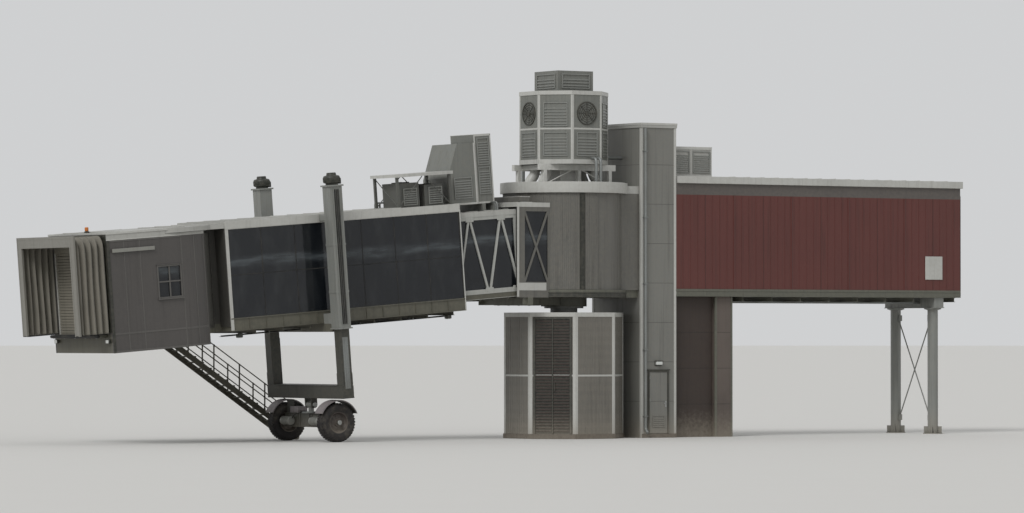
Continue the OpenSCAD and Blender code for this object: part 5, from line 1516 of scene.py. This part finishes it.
def canopyPieces():
    k = canopy
    around, along = 190, k["pleats"] * 14
    spots = [canopySpot(i / around, j / along) for j in range(along + 1) for i in range(around + 1)]
    row = around + 1
    faces = [(j * row + i, j * row + i + 1, (j + 1) * row + i + 1, (j + 1) * row + i)
             for j in range(along) for i in range(around)]
    mesh = bpy.data.meshes.new("bellows")
    mesh.from_pydata(spots, [], faces)
    bellows = bpy.data.objects.new("bellows", mesh)
    bpy.context.scene.collection.objects.link(bellows)
    edit(bellows, lambda: bpy.ops.mesh.normals_make_consistent(inside=False))
    area = sum(p.area for p in mesh.polygons)
    print("canopy sheet", round(area, 2), "m2")
    wall = bellows.modifiers.new("cloth", "SOLIDIFY")
    wall.thickness = 0.003
    wall.offset = 0
    onCab(bellows, "canopyCloth", "fabric", smooth=60)
    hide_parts("canopy_bellows")
    ridges = [(i + 0.5) / k["pleats"] for i in range(k["pleats"])]
    welts = united([bent([canopySpot(i / 120, t) for i in range(121)], 0.009, 6) for t in ridges])
    onCab(welts, "canopyWelts", "welt", smooth=60)
    hems = united([bent([canopySpot(s, i / along) for i in range(along + 1)], 0.007, 6)
                   for s in (0.0, 1.0)])
    onCab(hems, "canopyHems", "welt", smooth=60)
    rim = bricks(mirrored([((-3.8, 1.876, -0.13), (-3.735, 1.888, 2.97)), ((-3.8, 1.592, -0.13),
        (-3.735, 1.602, 2.64))]) + [
        ((-3.8, -1.888, 2.966), (-3.735, 1.888, 2.978)), ((-3.8, -1.602, 2.632),
            (-3.735, 1.602, 2.642)),
        ((-3.806, -1.88, 2.9), (-3.798, 1.88, 2.97)), ((-3.806, -1.66, 2.64),
                                                       (-3.798, 1.66, 2.7))] + mirrored([
            ((-3.806, 1.82, -0.13), (-3.798, 1.88, 2.97)), ((-3.806, 1.6, -0.13),
                (-3.798, 1.66, 2.7))]), 0.003)
    onCab(rim, "hoopEdges", "hoop")
    foot = bricks(mirrored([((-3.8, 1.59, -0.135), (-3.69, 1.885, -0.1)),
                            ((-3.72, 1.6, -0.14), (-2.66, 1.66, -0.1))]), 0.006)
    onCab(foot, "canopyFeet", "seal")
    flange = bricks(mirrored([((-2.668, 1.66, -0.1), (-2.65, 1.86, 2.9))]) +
                    [((-2.668, -1.86, 2.76), (-2.65, 1.86, 2.94))], 0.004)
    onCab(flange, "canopyFlange", "cap")


# Stair, landing and its door

stair = {"from": (-14.1443, 3.6247), "run": 5.35, "foot": 0.09, "inner": 2.505, "wide": 0.8,
         "treads": 18}


def stairPieces():
    k = stair
    x0, z0 = k["from"]
    drop = z0 - k["foot"]
    spots = [((i - 0.2) / (k["treads"] + 0.6)) for i in range(1, k["treads"] + 1)]
    y0, y1 = k["inner"] + 0.042, k["inner"] + k["wide"] - 0.042
    nose = bricks([((-0.024, y0, 0.016), (0.02, y1, 0.026))])
    ribs = bricks([((x, y0, 0.019), (x + 0.008, y1, 0.025))
                   for x in (0.06, 0.1, 0.14, 0.18, 0.215)], 0.001)
    tread = united([nose, ribs])
    onStair(repeated(tread, [at(x0 + f * k["run"], 0, z0 - f * drop) for f in spots]), "treadGrip",
            "zinc")
    knob = rods([((0, -0.026, 0), (0, 0.026, 0))], 0.024, 12, 0.004)
    slopeWay = [0.35 + (k["run"] - 0.6) * i / 5 for i in range(6)]
    places = [at(x0 + d, y, z0 - d * drop / k["run"] + h)
              for d in slopeWay for y in (k["inner"] + 0.02, k["inner"] + k["wide"] - 0.02)
              for h in (0.5, 0.95)]
    onStair(repeated(knob, places), "stairKnobs", "stairPaint", smooth=50)
    tyre = spun([(0.06, -0.03), (0.09, -0.026), (0.092, 0.0), (0.09, 0.026), (0.06, 0.03)], 32)
    rollers = repeated(tyre, [at(x0 + k["run"], y, k["foot"] + 0.002) @ onSide
                              for y in (2.535, 3.275)])
    onStair(rollers, "stairRollers", "tyre", smooth=50)


def landingPieces():
    bars = []
    for i in range(27):
        x = -12.57 + 0.1 * i
        reach = 2.04 ** 2 - (x + 13.0) ** 2
        low = max(1.535, sqrt(reach) + 0.02 if reach > 0 else 0)
        high = 3.3 if x < -11.9 else 2.44
        bars.append(((x, low, -0.151), (x + 0.012, high, -0.143)))
    onOuter(bricks(bars, 0.001), "landingGrip", "zinc")
    kick = bricks([((-11.88, 2.436, -0.15), (-9.955, 2.446, -0.03)), ((-12.598, 2.2, -0.15),
        (-12.588, 3.3, -0.03)),
                   ((-12.59, 3.292, -0.15), (-11.9, 3.302, -0.03)), ((-9.962, 1.56, -0.15),
                       (-9.952, 2.44, -0.03))])
    onOuter(kick, "kickPlates", "stairPaint")
    frames = bricks([((-11.09, 1.484, 0.0), (-11.045, 1.506, 2.2)), ((-10.055, 1.484, 0.0),
        (-10.01, 1.506, 2.2)),
                     ((-11.09, 1.484, 2.15), (-10.01, 1.512, 2.2)), ((-11.04, 1.48, 0.02),
                         (-10.06, 1.492, 0.2))], 0.003)
    onOuter(frames, "doorFrame", "pale", slot="wall_paint")
    pane = bricks([((-10.82, 1.484, 1.15), (-10.28, 1.49, 1.9))], 0.002)
    onOuter(pane, "doorWindow", "glass")
    rim = bricks([((-10.85, 1.484, 1.12), (-10.82, 1.497, 1.93)), ((-10.28, 1.484, 1.12),
        (-10.25, 1.497, 1.93)),
                  ((-10.85, 1.484, 1.12), (-10.25, 1.497, 1.15)), ((-10.85, 1.484, 1.9),
                      (-10.25, 1.497, 1.93))], 0.003)
    onOuter(rim, "doorWindowRim", "seal")
    bar = united([bent([(-10.16, 1.486, 0.85), (-10.16, 1.53, 0.85), (-10.16, 1.53, 1.15),
                        (-10.16, 1.486, 1.15)], 0.01, 8),
                  bricks([((-10.19, 1.484, 0.7), (-10.13, 1.494, 0.8))])])
    onOuter(bar, "doorHandle", "bright", smooth=50)
    hood = bricks([((-11.15, 1.49, 2.24), (-9.95, 1.6, 2.26)), ((-11.15, 1.588, 2.22),
        (-9.95, 1.602, 2.26))], 0.003)
    onOuter(hood, "doorHood", "pale")


bubblePieces()
cabPieces()
shutterPieces()
print("cab")
canopyPieces()
print("canopy")
stairPieces()
landingPieces()
print("stair and landing")
